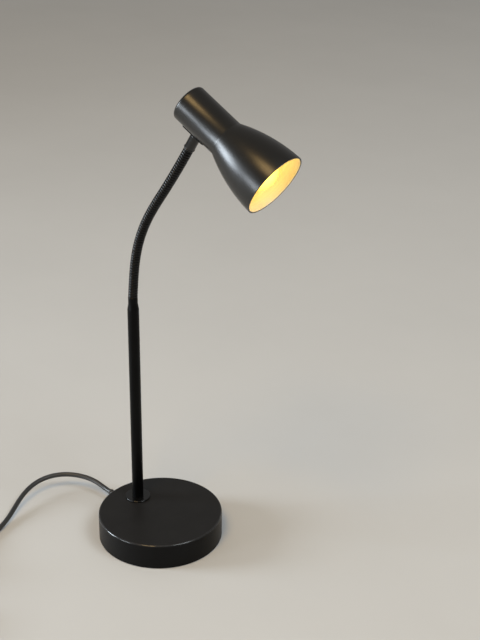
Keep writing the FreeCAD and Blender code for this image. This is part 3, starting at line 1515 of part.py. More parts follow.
def across_rod(name, radius, length, up="0"):
    """A cylinder that lies along Y, centred on the middle plane."""
    rod = doc.addObject("Part::Cylinder", name)
    rod.Placement = FreeCAD.Placement(V(0, 0, 0), FreeCAD.Rotation(V(1, 0, 0), 90))
    bind(rod, Radius=radius, Height=length,
         Placement_at_Base_at_y=f"({length}) / 2", Placement_at_Base_at_z=up)
    return rod


def plug_pieces():
    """Moulded two-pin plug: its body with the cord sleeve, and its pins."""
    place = FreeCAD.Placement(PLUG_FRONT, FreeCAD.Rotation(V(0, 0, 1), PLUG_TURN))
    wide = "(plug_width / 2)"
    waist = "(plug_waist / 2)"
    body = extruded("plug_shell", draw_outline, [
        ("0", f"-{wide}"),
        ("0", wide),
        ("-plug_length / 2", wide),
        ("-plug_length", waist),
        ("-plug_length", f"-{waist}"),
        ("-plug_length / 2", f"-{wide}")], "plug_height")
    dressed(body, "Fillet",
            lambda b: b.XLength < 0.01 and b.YLength < 0.01, "plug_corner")
    top = size("plug_height")
    dressed(body, "Fillet",
            lambda b: b.ZMax < 0.01 or b.ZMin > top - 0.01, "plug_edge")
    holes = [(f"{sign}pin_spacing / 2", "plug_height / 2",
              "pin_radius + thread_gap") for sign in "+-"]
    pocketed(body, "pin_sockets", "YZ_Plane", draw_circles, holes,
             "-pin_root", "2 * pin_root")
    pins = []
    for number, sign in enumerate("+-"):
        pin = turned(f"pin_{number}", [
            ("-pin_root", "0"),
            ("-pin_root", "pin_radius"),
            ("pin_length - pin_tip", "pin_radius"),
            ("pin_length", "pin_radius - pin_tip"),
            ("pin_length", "0")], axis="H_Axis")
        bind(pin, Placement_at_Base_at_y=f"{sign}pin_spacing / 2",
             Placement_at_Base_at_z="plug_height / 2")
        pins.append(pin)
    keep("plug_pins", joined("plug_pins", *pins), place)

    sleeve = turned("plug_sleeve", [
        ("-plug_length", "0"),
        ("-plug_length", "relief_root"),
        ("-plug_length - relief_length", "relief_tip"),
        ("-plug_length - relief_length", "0")], axis="H_Axis")
    bind(sleeve, Placement_at_Base_at_z="plug_height / 2")
    keep("plug_body", joined("plug_body", body, sleeve), place)


base_pieces()
stem_pieces()
cord_entry_pieces()
stem_wires()
neck_pieces()
head_pieces()
lampholder_pieces()
bulb_pieces()
switch_pieces()
plug_pieces()
cord_pieces()
doc.recompute()

for item in doc.Objects:
    bad = {"Invalid", "Error"} & set(item.State)
    assert not bad, f"{item.Label} is {item.State}"
os.makedirs("parts", exist_ok=True)
for piece in subparts:
    shape = piece.Shape
    assert not shape.isNull() and shape.isValid(), piece.Label + " is not sound"
    shape.exportStep(f"parts/{piece.Label}.step")
print(len(subparts), "sub-parts written")
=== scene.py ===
import math
import bpy
import numpy as np
from mathutils import Matrix, Vector


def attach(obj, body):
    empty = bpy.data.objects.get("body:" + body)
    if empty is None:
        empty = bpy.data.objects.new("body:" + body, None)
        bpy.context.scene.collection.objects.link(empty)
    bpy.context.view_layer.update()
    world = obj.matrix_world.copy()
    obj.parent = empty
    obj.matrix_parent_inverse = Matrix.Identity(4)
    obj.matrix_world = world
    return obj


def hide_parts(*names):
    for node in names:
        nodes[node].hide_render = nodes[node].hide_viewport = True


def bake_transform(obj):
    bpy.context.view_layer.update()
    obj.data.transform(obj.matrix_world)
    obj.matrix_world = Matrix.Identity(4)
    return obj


# A gooseneck desk lamp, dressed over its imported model, piece by piece as it is
# put together. Lengths are in metres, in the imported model's own frame.
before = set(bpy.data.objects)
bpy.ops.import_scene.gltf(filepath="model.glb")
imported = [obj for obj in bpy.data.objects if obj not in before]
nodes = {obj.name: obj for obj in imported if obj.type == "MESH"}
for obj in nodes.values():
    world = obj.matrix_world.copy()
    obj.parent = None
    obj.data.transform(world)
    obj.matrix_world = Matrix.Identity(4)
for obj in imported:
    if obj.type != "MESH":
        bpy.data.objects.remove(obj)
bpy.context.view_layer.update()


# Camera. It looks down on the lamp from its front right side, a metre and a half
# away, and takes in 28 degrees from top to bottom.
camera_at = Vector((1.011134, -0.855578, 0.91575))
camera_right = Vector((0.69429093, 0.7195946, 0.01198789))
camera_up = Vector((-0.31554548, 0.28939468, 0.90370447))
camera_ahead = Vector((-0.64683163, 0.63121654, -0.42798893))
sensor_width, focal_pixels, picture_height = 36.0, 1290, 640
camera_data = bpy.data.cameras.new("camera")
camera_data.sensor_width = sensor_width
camera_data.lens = sensor_width * focal_pixels / picture_height
camera = bpy.data.objects.new("camera", camera_data)
camera_turn = Matrix((camera_right, camera_up, -camera_ahead)).transposed()
camera.matrix_world = Matrix.LocRotScale(
    camera_at, camera_turn.to_quaternion(), None)
bpy.context.scene.collection.objects.link(camera)
bpy.context.scene.camera = camera


# Base drum. A deep drawn steel cover with a rolled top edge, powder coated in
# satin black. It slips over the weight and hides everything below it.

def feed(tree, socket, value):
    """Links a socket to another node's output, or sets its value."""
    if isinstance(value, bpy.types.NodeSocket):
        tree.links.new(value, socket)
    else:
        socket.default_value = value


def node(tree, kind, **settings):
    """One shader node. A setting named like a socket, with _ for its blanks,
    gives that socket a value or a link, and any other sets a property. The
    properties come first, because some of them switch sockets on."""
    made = tree.nodes.new(kind)
    for name, value in settings.items():
        if hasattr(made, name):
            setattr(made, name, value)
    for name, value in settings.items():
        if not hasattr(made, name):
            label = name.replace("_", " ")
            feed(tree, next(socket for socket in made.inputs
                            if socket.name == label and socket.enabled), value)
    return made


def out(made):
    """A node's first output that is switched on."""
    return next(socket for socket in made.outputs if socket.enabled)


def effect(name, inputs, outputs):
    """An empty shader group with its named sockets, and its two end nodes."""
    tree = bpy.data.node_groups.new(name, "ShaderNodeTree")
    for label, kind in inputs.items():
        tree.interface.new_socket(name=label, in_out="INPUT",
                                  socket_type=f"NodeSocket{kind}")
    for label, kind in outputs.items():
        tree.interface.new_socket(name=label, in_out="OUTPUT",
                                  socket_type=f"NodeSocket{kind}")
    return (tree, tree.nodes.new("NodeGroupInput").outputs,
            tree.nodes.new("NodeGroupOutput").inputs)


def mixed(tree, factor, first, second):
    """Two colours mixed by a factor."""
    made = tree.nodes.new("ShaderNodeMix")
    made.data_type = "RGBA"
    for place, value in ((0, factor), (6, first), (7, second)):
        feed(tree, made.inputs[place], value)
    return made.outputs[2]


def spread(tree, value, low, high, new_low=0.0, new_high=1.0):
    """A value moved from one range to another, held at its ends."""
    return out(node(tree, "ShaderNodeMapRange", Value=value, From_Min=low,
                    From_Max=high, To_Min=new_low, To_Max=new_high))


def noise(tree, vector, scale, detail, roughness):
    """The value of a noise texture."""
    return out(node(tree, "ShaderNodeTexNoise", Vector=vector, Scale=scale,
                    Detail=detail, Roughness=roughness))


def maths(tree, operation, *values, kind="ShaderNodeMath"):
    """The value of a Math or Vector Math node, linked to its inputs in order."""
    made = node(tree, kind, operation=operation)
    for socket, value in zip(made.inputs, values):
        tree.links.new(value, socket)
    return made.outputs["Value"]


# Fine orange peel with slow clouds in its colour and gloss, as on paint and
# moulded plastic.
peel, given, put = effect(
    "peel", {"Vector": "Vector", "Grain": "Float", "Clouds": "Float",
             "Dark": "Color", "Light": "Color", "Smooth": "Float",
             "Rough": "Float"},
    {"Color": "Color", "Roughness": "Float", "Height": "Float"})
fine = noise(peel, given["Vector"], given["Grain"], detail=3.0, roughness=0.55)
slow = noise(peel, given["Vector"], given["Clouds"], detail=5.0, roughness=0.6)
feed(peel, put["Color"], mixed(peel, spread(peel, slow, 0.3, 0.7),
                               given["Dark"], given["Light"]))
feed(peel, put["Roughness"],
     spread(peel, fine, 0.25, 0.75, given["Smooth"], given["Rough"]))
feed(peel, put["Height"], fine)


# Wear along a round edge: a mask that is 1 on a circle about the Z axis and
# fades with the distance from it, broken up by noise.
round_edge, given, put = effect(
    "round_edge", {"Vector": "Vector", "Radius": "Float", "Height": "Float",
                   "Width": "Float"}, {"Mask": "Float", "Edge": "Float"})
parts = node(round_edge, "ShaderNodeSeparateXYZ", Vector=given["Vector"]).outputs
flat = out(node(round_edge, "ShaderNodeCombineXYZ", X=parts["X"], Y=parts["Y"]))
from_axis = maths(round_edge, "LENGTH", flat, kind="ShaderNodeVectorMath")
aside = maths(round_edge, "SUBTRACT", from_axis, given["Radius"])
above = maths(round_edge, "SUBTRACT", parts["Z"], given["Height"])
both = out(node(round_edge, "ShaderNodeCombineXYZ", X=aside, Y=above))
away = maths(round_edge, "LENGTH", both, kind="ShaderNodeVectorMath")
near = spread(round_edge, away, 0.0, given["Width"], 1.0, 0.0)
rub = noise(round_edge, given["Vector"], 260.0, detail=6.0, roughness=0.7)
feed(round_edge, put["Mask"],
     maths(round_edge, "MULTIPLY", near, spread(round_edge, rub, 0.5, 0.75)))
feed(round_edge, put["Edge"], near)


# Dust that lies on whatever faces up: a mask of the normal's height, patchy.
dust, given, put = effect(
    "dust", {"Vector": "Vector", "Normal": "Vector", "Amount": "Float"},
    {"Mask": "Float"})
parts = node(dust, "ShaderNodeSeparateXYZ", Vector=given["Normal"]).outputs
patches = noise(dust, given["Vector"], 34.0, detail=7.0, roughness=0.7)
patchy = maths(dust, "MULTIPLY", spread(dust, parts["Z"], 0.5, 0.97),
               spread(dust, patches, 0.25, 0.8, 0.75, 1.0))
feed(dust, put["Mask"], maths(dust, "MULTIPLY", patchy, given["Amount"]))


def group(tree, kind, **settings):
    """One of the shader groups, placed in a material."""
    made = tree.nodes.new("ShaderNodeGroup")
    made.node_tree = kind
    for name, value in settings.items():
        feed(tree, made.inputs[name], value)
    return made


def material(name, **settings):
    """A new material with one Principled shader and a texture coordinate, and
    the constants that are set on the shader's own sockets."""
    made = bpy.data.materials.new(name)
    made.use_nodes = True
    tree = made.node_tree
    tree.nodes.clear()
    shader = node(tree, "ShaderNodeBsdfPrincipled", **settings)
    node(tree, "ShaderNodeOutputMaterial", Surface=out(shader))
    place = tree.nodes.new("ShaderNodeTexCoord").outputs["Object"]
    return made, tree, shader, place


def raised(tree, shader, height, depth):
    """A height in the material, of that many metres, as a bump."""
    feed(tree, shader.inputs["Normal"],
         out(node(tree, "ShaderNodeBump", Height=height, Distance=depth,
                  Strength=1.0)))


def coat(name, dark, light, smooth, rough, grain=900.0, clouds=18.0,
         depth=0.00003, **settings):
    """Paint, plastic or bare metal: the peel group's colour and gloss, and its
    bump if it has a depth."""
    made, tree, shader, place = material(name, **settings)
    skin = group(tree, peel, Vector=place, Grain=grain, Clouds=clouds,
                 Dark=(*dark, 1), Light=(*light, 1), Smooth=smooth, Rough=rough)
    feed(tree, shader.inputs["Base Color"], skin.outputs["Color"])
    feed(tree, shader.inputs["Roughness"], skin.outputs["Roughness"])
    if depth:
        raised(tree, shader, skin.outputs["Height"], depth)
    return made, tree, shader, place, skin


dust_colour = (0.09, 0.088, 0.085, 1)


def dusted(tree, shader, place, colour, amount):
    """Lays dust over a material's colour."""
    film = group(tree, dust, Vector=place, Amount=amount,
                 Normal=place.node.outputs["Normal"])
    feed(tree, shader.inputs["Base Color"],
         mixed(tree, film.outputs["Mask"], colour, dust_colour))


def dress(made, *names):
    """Gives CAD nodes a material."""
    for name in names:
        nodes[name].data.materials.clear()
        nodes[name].data.materials.append(made)


rim_radius, rim_height, rim_width = 0.0742, 0.0314, 0.0016
rubbed_coat = (0.022, 0.022, 0.024, 1)
base_coat, tree, shader, place, skin = coat(
    "base_coat", dark=(0.0012, 0.0013, 0.0016), light=(0.0022, 0.0023, 0.0026),
    smooth=0.34, rough=0.46, Specular_IOR_Level=0.14, Coat_Roughness=0.12)
rim = group(tree, round_edge, Vector=place, Radius=rim_radius,
            Height=rim_height, Width=rim_width)
dusted(tree, shader, place,
       mixed(tree, rim.outputs["Mask"], skin.outputs["Color"], rubbed_coat),
       amount=0.14)
feed(tree, shader.inputs["Coat Weight"],
     spread(tree, rim.outputs["Edge"], 0.1, 0.6))
dress(base_coat, "base_cover")


# Weight, bottom plate and foam pad. The weight is grey cast iron, the plate is
# zinc plated sheet held by three screws, and the pad is glued on under it.
cast_iron, *_ = coat(
    "cast_iron", dark=(0.05, 0.05, 0.052), light=(0.1, 0.095, 0.09),
    smooth=0.6, rough=0.85, grain=500.0, clouds=60.0, depth=0.0003)
dress(cast_iron, "base_weight")
foam, *_ = coat(
    "foam", dark=(0.012, 0.012, 0.013), light=(0.025, 0.025, 0.026),
    smooth=0.85, rough=0.98, grain=1800.0, clouds=200.0, depth=0.0004)
dress(foam, "base_pad")
zinc, *_ = coat(
    "zinc", dark=(0.48, 0.49, 0.52), light=(0.66, 0.66, 0.65),
    smooth=0.22, rough=0.42, grain=700.0, clouds=240.0, depth=0.00001,
    Metallic=1.0)
dress(zinc, "base_plate", "base_plate_screws", "base_small_screws",
      "stem_washer", "stem_nut", "stem_nipple", "stem_bush", "swivel_spring",
      "swivel_nut", "swivel_pivot", "holder_bracket", "shoe_washer",
      "lampholder_screws", "switch_screws", "rocker_pin")


# Stem. A straight steel tube in the same black coat, narrowed at its top where
# the neck is pushed in, on a small turned disc that hides the hole in the drum.

def eased(corners):
    """A closed outline with its corners eased. A corner (x, y, r) becomes an arc
    of radius r that touches both sides: a rational quadratic curve, which is an
    exact arc where its middle weight is the sine of half the corner's angle. A
    short flat is added at both ends of each arc, so that shading stays flat."""
    arc_steps, flat_share, same_point = 6, 0.2, 1e-8
    corner = np.asarray(corners, float)
    middle, radius = corner[:, :2], corner[:, 2]
    before = np.roll(middle, 1, 0) - middle
    after = np.roll(middle, -1, 0) - middle
    before /= np.linalg.norm(before, axis=1)[:, None]
    after /= np.linalg.norm(after, axis=1)[:, None]
    half = np.arccos(np.clip((before * after).sum(1), -1, 1)) / 2
    trim = radius / np.tan(half)
    s = np.linspace(0, 1, arc_steps + 1)[None, :, None]
    first = (middle + before * trim[:, None])[:, None]
    last = (middle + after * trim[:, None])[:, None]
    weight = np.sin(half)[:, None, None]
    arc = ((1 - s) ** 2 * first + 2 * s * (1 - s) * weight * middle[:, None]
           + s ** 2 * last) / ((1 - s) ** 2 + 2 * s * (1 - s) * weight + s ** 2)
    flat = flat_share * trim[:, None, None]
    arc = np.concatenate([first + before[:, None] * flat, arc,
                          last + after[:, None] * flat], 1).reshape(-1, 2)
    step = np.linalg.norm(arc - np.roll(arc, 1, 0), axis=1)
    return arc[step > same_point]


def turned(name, outline, place, steps=64, bent=None):
    """A body turned on a lathe: a closed outline of (radius, place along the
    axis) goes once round the Z axis, as a grid of outline points by angles, is
    bent if a function says how, and is then set in its place. Points on the axis
    are one point, so that poles are closed. The outline is taken anticlockwise,
    so faces point outwards."""
    on_axis, sharp_angle = 1e-9, math.radians(38)
    radius, along = outline[:, 0], outline[:, 1]
    area = (radius * np.roll(along, -1) - np.roll(radius, -1) * along).sum()
    if area < 0:
        radius, along = radius[::-1], along[::-1]
    angle = np.linspace(0, 2 * np.pi, steps, endpoint=False)
    rows = len(radius)
    points = np.stack([radius[:, None] * np.cos(angle),
                       radius[:, None] * np.sin(angle),
                       np.broadcast_to(along[:, None], (rows, steps))], -1)
    here = np.arange(rows * steps).reshape(rows, steps)
    pole = radius < on_axis
    here[pole] = here[pole][:, :1]
    ahead = np.roll(here, -1, 0)
    quads = np.stack([here, np.roll(here, -1, 1), np.roll(ahead, -1, 1), ahead],
                     -1)
    starts, ends = pole, np.roll(pole, -1)
    plain = quads[~starts & ~ends].reshape(-1, 4)
    fan_out = quads[starts & ~ends].reshape(-1, 4)[:, [0, 2, 3]]
    fan_in = quads[~starts & ends].reshape(-1, 4)[:, [0, 1, 2]]
    used, loops = np.unique(
        np.concatenate([plain.ravel(), fan_out.ravel(), fan_in.ravel()]),
        return_inverse=True)
    faces = (loops[:plain.size].reshape(-1, 4).tolist()
             + loops[plain.size:].reshape(-1, 3).tolist())
    points = points.reshape(-1, 3)[used]
    if bent is not None:
        points = bent(points)
    points = points @ np.array(place.to_3x3()).T + np.array(place.translation)
    mesh = bpy.data.meshes.new(name)
    mesh.from_pydata(points.tolist(), [], faces)
    mesh.shade_smooth()
    mesh.set_sharp_from_angle(angle=sharp_angle)
    made = bpy.data.objects.new(name, mesh)
    bpy.context.scene.collection.objects.link(made)
    return made


stem_coat, *_ = coat(
    "stem_coat", dark=(0.0008, 0.0008, 0.001), light=(0.0018, 0.0018, 0.0018),
    smooth=0.3, rough=0.4, clouds=40.0, Specular_IOR_Level=0.1)
dress(stem_coat, "stem_tube")

stem_place = Matrix.Translation((-0.0425, 0.0, 0.0))
disc_low, disc_high, disc_radius, nipple_hole = 0.0322, 0.0342, 0.01535, 0.00505
disc_foot_edge, disc_top_edge = 0.0001, 0.0008
disc = turned("stem_disc", eased([
    (nipple_hole, disc_low, 0), (disc_radius, disc_low, disc_foot_edge),
    (disc_radius, disc_high, disc_top_edge), (nipple_hole, disc_high, 0)]),
    stem_place, steps=96)
disc_coat, *_ = coat(
    "disc_coat", dark=(0.0015, 0.0015, 0.0018), light=(0.003, 0.003, 0.003),
    smooth=0.16, rough=0.26, clouds=60.0, depth=0.00001)
disc.data.materials.append(disc_coat)
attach(disc, "base")
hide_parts("stem_collar")


# Cord bush, cord clamp and terminal block. The bush is black rubber with a
# flange on the drum's wall and a tapered tail, and inside the drum the clamp is
# black plastic and the block is pale nylon, both screwed to the weight.
rubber, *_ = coat(
    "rubber", dark=(0.012, 0.012, 0.012), light=(0.02, 0.02, 0.02),
    smooth=0.5, rough=0.65, grain=1400.0, clouds=90.0, depth=0.00003)


def ribbed_sleeve(root, tip, length, count, groove=0.0006):
    """Half an outline of a bend relief: a taper from its root at zero to its
    tip, with round grooves, as squares of a sine, in its outer two thirds."""
    row_count, ribs_from, ribs_share = 90, 0.25, 0.66
    rows = np.linspace(0.0, length, row_count)
    taper = root + (tip - root) * rows / length
    turn = (rows / length - ribs_from) / ribs_share
    wave = np.sin(np.clip(turn, 0, 1) * count * np.pi) ** 2
    return np.stack([taper - groove * wave, rows], 1)


def sharp(outline):
    """An outline's points as corners that stay as they are."""
    return np.column_stack([outline, np.zeros(len(outline))])


wall_x, wall_thickness, cord_z, cord_hole = -0.075, 0.0012, 0.0125, 0.0031
flange, flange_radius, flange_sink = 0.002, 0.007, 0.0003
bush_neck, lip, bush_edge, flange_edge = 0.005, 0.002, 0.0004, 0.0005
tail_tip, tail_length, tail_grooves = 0.004, 0.02, 5
to_the_back = Matrix.Rotation(math.radians(-90), 4, "Y")
tail = ribbed_sleeve(bush_neck, tail_tip, tail_length, tail_grooves)
bush_rear = -wall_thickness - lip
bush = turned("ribbed_bush", eased(np.concatenate([
    [(flange_radius, bush_rear, bush_edge), (flange_radius, bush_rear + lip, 0),
     (bush_neck, bush_rear + lip, 0), (bush_neck, -flange_sink, 0),
     (flange_radius, -flange_sink, 0), (flange_radius, flange, flange_edge),
     (bush_neck, flange, bush_edge)],
    sharp(tail + (0.0, flange))[1:],
    [(cord_hole, flange + tail_length, 0), (cord_hole, bush_rear, 0)]])),
    Matrix.Translation((wall_x, 0, cord_z)) @ to_the_back)
bush.data.materials.append(rubber)
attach(bush, "base")
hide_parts("cord_bush")

moulded, *_ = coat(
    "moulded", dark=(0.011, 0.011, 0.012), light=(0.019, 0.019, 0.02),
    smooth=0.4, rough=0.52, grain=2200.0, clouds=60.0, depth=0.00003)
dress(moulded, "cord_clamp", "switch_case_lower", "switch_case_upper",
      "switch_rocker", "plug_body")
nylon, *_ = coat(
    "nylon", dark=(0.62, 0.6, 0.55), light=(0.74, 0.73, 0.69),
    smooth=0.35, rough=0.5, grain=900.0, clouds=70.0, depth=0.00002)
dress(nylon, "terminal_block")
wire_cover, *_ = coat(
    "wire_cover", dark=(0.1, 0.035, 0.012), light=(0.14, 0.05, 0.02),
    smooth=0.35, rough=0.5, grain=1500.0, clouds=90.0, depth=0.00002)
second_cover, *_ = coat(
    "second_cover", dark=(0.01, 0.06, 0.22), light=(0.015, 0.085, 0.3),
    smooth=0.35, rough=0.5, grain=1500.0, clouds=90.0, depth=0.00002)


def face_values(mesh, value):
    """The centres or the normals of a mesh's faces, as rows."""
    rows = np.zeros(len(mesh.polygons) * 3)
    mesh.polygons.foreach_get(value, rows)
    return rows.reshape(-1, 3)


def two_colours(name, middle, across):
    """Gives the wire on the far side of a plane the second colour."""
    mesh = nodes[name].data
    dress(wire_cover, name)
    mesh.materials.append(second_cover)
    to_world = np.array(nodes[name].matrix_world)
    centres = (face_values(mesh, "center") @ to_world[:3, :3].T
               + to_world[:3, 3])
    far = (centres - np.array(middle)) @ np.array(across) > 0
    mesh.polygons.foreach_set("material_index", far.astype(np.int32))


two_colours("stem_wires", middle=(0.0, 0.0, 0.0), across=(0.0, 1.0, 0.0))
brass, *_ = coat(
    "brass", dark=(0.62, 0.42, 0.14), light=(0.78, 0.58, 0.24),
    smooth=0.2, rough=0.38, grain=900.0, clouds=160.0, depth=0.00001,
    Metallic=1.0)
dress(brass, "lampholder_contacts", "switch_contacts")


# Neck. A flexible tube of hard wound steel wire, coated black, which keeps the
# bend that it is given. One piece of it crosses each joint of the chain, from the
# middle of one link to the middle of the next, and is curved across that joint as
# the neck rests, so that no gap shows there.

link_count, link_pitch = 16, 0.01349
bend_first, bend_last = 0.25, 10.06
lean_start, lean_peak, lean_end = 4.7, 34.4, 31.0
link = np.arange(link_count)
share = np.clip((link - bend_first) / (bend_last - bend_first), 0, 1)
fall = np.clip((link - bend_last) / (link_count - 1 - bend_last), 0, 1)
link_leans = np.radians(lean_start
                        + (lean_peak - lean_start) * share ** 2 * (3 - 2 * share)
                        - (lean_peak - lean_end) * fall)
neck_yaw, first_joint = math.radians(10.0), Vector((0.0, 0.0, 0.3036))
ribs_per_link, rib_root, rib_height, rib_power = 4, 0.0049, 0.0007, 0.7
bore, spigot_hole, spigot_hole_depth = 0.003, 0.00446, 0.0032
link_gap, neck_bend, foot_play, sleeve_play = 0.0012, 0.003, 0.0001, 0.00002


def ribbed(low, high):
    """Half an outline of the neck between two places along a link, measured from
    the joint at its foot: ribs that swell as a power of a sine's size outside,
    and a plain bore. The bore widens round the sleeve's spigot at the end."""
    rows_per_link, bore_rows = 60, 13
    rows = np.linspace(
        low, high, int(round((high - low) / link_pitch * rows_per_link)) + 1)
    swell = np.abs(np.sin(rows / link_pitch * ribs_per_link * np.pi)) ** rib_power
    outside = np.stack([rib_root + rib_height * swell, rows], 1)
    inside = np.stack([np.full(bore_rows, bore),
                       np.linspace(high, low, bore_rows)], 1)
    if high > link_pitch / 2:
        inside[inside[:, 1] > link_pitch - spigot_hole_depth, 0] = spigot_hole
    return np.concatenate([outside, inside])


def bend_at_joint(angle, reach):
    """A function that bends points at height zero by an angle about the Y axis.
    Within the reach, the middle line is a parabola that touches the two straight
    lines, and each ring of points stays square to it."""
    def bent(points):
        x, y, s = points.T
        t = np.clip((s + reach) / (2 * reach), 0, 1)
        before = np.minimum(s, -reach) + reach - reach * (1 - t) ** 2
        after = np.maximum(s, reach) - reach + reach * t ** 2
        tilt = np.arctan2(t * math.sin(angle), 1 - t + t * math.cos(angle))
        return np.stack(
            [after * math.sin(angle) + x * np.cos(tilt), y,
             before + after * math.cos(angle) - x * np.sin(tilt)], 1)
    return bent


neck_coat, *_ = coat(
    "neck_coat", dark=(0.001, 0.001, 0.0012), light=(0.0022, 0.0022, 0.0022),
    smooth=0.2, rough=0.3, grain=1200.0, clouds=120.0, depth=0.00002,
    Specular_IOR_Level=0.2)
joint = stem_place @ first_joint
rest = Matrix.Rotation(neck_yaw, 4, "Z")
last_lean, last_body = 0.0, "base"
for number, lean in enumerate(link_leans, start=1):
    first, last = number == 1, number == link_count
    reach = link_gap / 2 - foot_play if first else neck_bend
    outline = ribbed(
        -reach if first else -link_pitch / 2,
        link_pitch - link_gap / 2 - sleeve_play if last else link_pitch / 2)
    piece = turned(f"neck_ribs_{number:02d}", outline,
                   Matrix.Translation(joint) @ rest, steps=48,
                   bent=bend_at_joint(lean - last_lean, reach))
    piece.data.materials.append(neck_coat)
    rest = Matrix.Rotation(neck_yaw, 4, "Z") @ Matrix.Rotation(lean, 4, "Y")
    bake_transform(piece)
    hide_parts(f"neck_link_{number:02d}")
    joint = joint + rest @ Vector((0, 0, link_pitch))
    last_lean, last_body = lean, f"link_{number:02d}"
neck_end = Matrix.Translation(joint) @ rest


# Neck sleeve and swivel. A short coated sleeve with a bead closes the neck, and
# a ring washer and a curved plate carry the head, clamped by a threaded pipe.
sleeve_radius, sleeve_length, sleeve_edge = 0.0059, 0.0175, 0.0005
spigot_radius, spigot_low, spigot_edge = 0.00443, -0.0028, 0.0002
bead_radius, bead_low, bead_width, bead_edge = 0.0063, -0.0006, 0.0016, 0.00045
bead_high, bead_foot_edge = bead_low + bead_width, 0.0001
thread_hole, thread_low = 0.00405, 0.0085
sleeve_coat, *_ = coat(
    "sleeve_coat", dark=(0.0015, 0.0015, 0.0018), light=(0.003, 0.003, 0.003),
    smooth=0.12, rough=0.2, clouds=90.0, depth=0.00001)
sleeve = turned("neck_sleeve", eased([
    (bore, spigot_low, 0), (spigot_radius, spigot_low, spigot_edge),
    (spigot_radius, bead_low, 0), (bead_radius, bead_low, bead_edge),
    (bead_radius, bead_high, bead_edge), (sleeve_radius, bead_high, bead_foot_edge),
    (sleeve_radius, sleeve_length, sleeve_edge), (thread_hole, sleeve_length, 0),
    (thread_hole, thread_low, 0), (bore, thread_low, 0)]), neck_end, steps=72)
sleeve.data.materials.append(sleeve_coat)
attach(sleeve, "link_16")
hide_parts("neck_ferrule")
ring_radius, ring_thickness, ring_edge = 0.0066, 0.0013, 0.0004
ring_low, ring_high = sleeve_length, sleeve_length + ring_thickness
ring = turned("swivel_washer", eased([
    (thread_hole, ring_low, 0), (ring_radius, ring_low, ring_edge),
    (ring_radius, ring_high, ring_edge), (thread_hole, ring_high, 0)]),
    neck_end, steps=72)
ring.data.materials.append(sleeve_coat)
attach(ring, "link_16")
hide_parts("swivel_ring")
dress(stem_coat, "saddle_plate")


# Head. One spun steel shell: a cylinder with a closed, rounded rear end, drawn
# out into a bell. It is satin black outside and on its lip, and white inside.
# It sits on the curved plate, which the swivel's threaded pipe clamps to it.
saddle_thickness, swivel_gaps = 0.0012, 0.00008
head_radius, head_wall, head_edge, head_edge_inside = 0.021, 0.001, 0.003, 0.002
head_rear, head_crease, head_mouth = -0.0275, 0.0315, 0.1034
mouth_radius, bell_arc = 0.0376, 0.185
hem_width, hem_length, hem_edge, hem_slope = 0.0018, 0.0022, 0.0004, 0.0004
hem_end_edge, hem_spare = 0.0003, 0.0005
head_place = neck_end @ Matrix.Translation(
    (0, 0, ring_high + saddle_thickness + swivel_gaps + head_radius))
head_lathe = head_place @ Matrix.Rotation(math.radians(90.0), 4, "Y")
head_turn = head_place.to_3x3()


def bell_side(inset):
    """The bell's side from the crease to the mouth: a circular arc through both
    ends, bulging outwards, moved inwards by the inset along the radius."""
    arc_points = 40
    start = np.array([head_crease, head_radius - inset])
    end = np.array([head_mouth, mouth_radius - inset])
    chord = end - start
    length = np.linalg.norm(chord)
    across = np.array([-chord[1], chord[0]]) / length
    centre = (start + end) / 2 - across * math.sqrt(
        bell_arc ** 2 - length ** 2 / 4)
    first = math.atan2(*(start - centre)[::-1])
    last = math.atan2(*(end - centre)[::-1])
    t = np.linspace(first, last, arc_points)
    line = centre + bell_arc * np.stack([np.cos(t), np.sin(t)], 1)
    return line[:, ::-1]


outer = sharp(bell_side(0.0))
inner = sharp(bell_side(head_wall))[::-1]
hem_rear = head_mouth - hem_length
hem_foot = np.interp(hem_rear, inner[::-1, 1], inner[::-1, 0])
shell_outline = eased(np.concatenate([
    [(0.0, head_rear, 0), (head_radius, head_rear, head_edge)],
    outer[:-1],
    [(mouth_radius, head_mouth, hem_edge),
     (mouth_radius - hem_width, head_mouth, hem_edge),
     (mouth_radius - hem_width - hem_slope, hem_rear, hem_end_edge),
     (hem_foot, hem_rear, 0)],
    inner[inner[:, 1] < hem_rear - hem_spare],
    [(head_radius - head_wall, head_rear + head_wall, head_edge_inside),
     (0.0, head_rear + head_wall, 0)]]))
shell = turned("head_spun", shell_outline, head_lathe, steps=160)
head_coat, tree, shader, place, skin = coat(
    "head_coat", dark=(0.003, 0.0024, 0.0014), light=(0.005, 0.004, 0.0025),
    smooth=0.27, rough=0.34, clouds=30.0, depth=0.00001,
    Specular_IOR_Level=0.45)
dusted(tree, shader, place, skin.outputs["Color"], amount=0.03)

# Fine rings left by a lathe or a spinning tool: a height that changes only
# along an axis.
tooled, given, put = effect(
    "tooled", {"Vector": "Vector", "Axis": "Vector", "Rings": "Float"},
    {"Height": "Float", "Mask": "Float"})
along = maths(tooled, "DOT_PRODUCT", given["Vector"], given["Axis"],
              kind="ShaderNodeVectorMath")
lined = out(node(tooled, "ShaderNodeTexNoise", noise_dimensions="1D", W=along,
                 Scale=given["Rings"], Detail=4.0, Roughness=0.6))
feed(tooled, put["Height"], lined)
feed(tooled, put["Mask"], spread(tooled, lined, 0.35, 0.65))

# The paint's bump is that of the rings, so it has none of its own.
ring_depth, ring_colour = 0.0004, (0.66, 0.63, 0.55, 1)
white_paint, tree, shader, place, skin = coat(
    "white_paint", dark=(0.72, 0.68, 0.58), light=(0.8, 0.76, 0.66),
    smooth=0.22, rough=0.34, clouds=40.0, depth=0.0)
rings = group(tree, tooled, Vector=place, Rings=420.0,
              Axis=head_turn @ Vector((1, 0, 0)))
raised(tree, shader, rings.outputs["Height"], ring_depth)
feed(tree, shader.inputs["Base Color"],
     mixed(tree, rings.outputs["Mask"], skin.outputs["Color"], ring_colour))
shell.data.materials.append(head_coat)
shell.data.materials.append(white_paint)

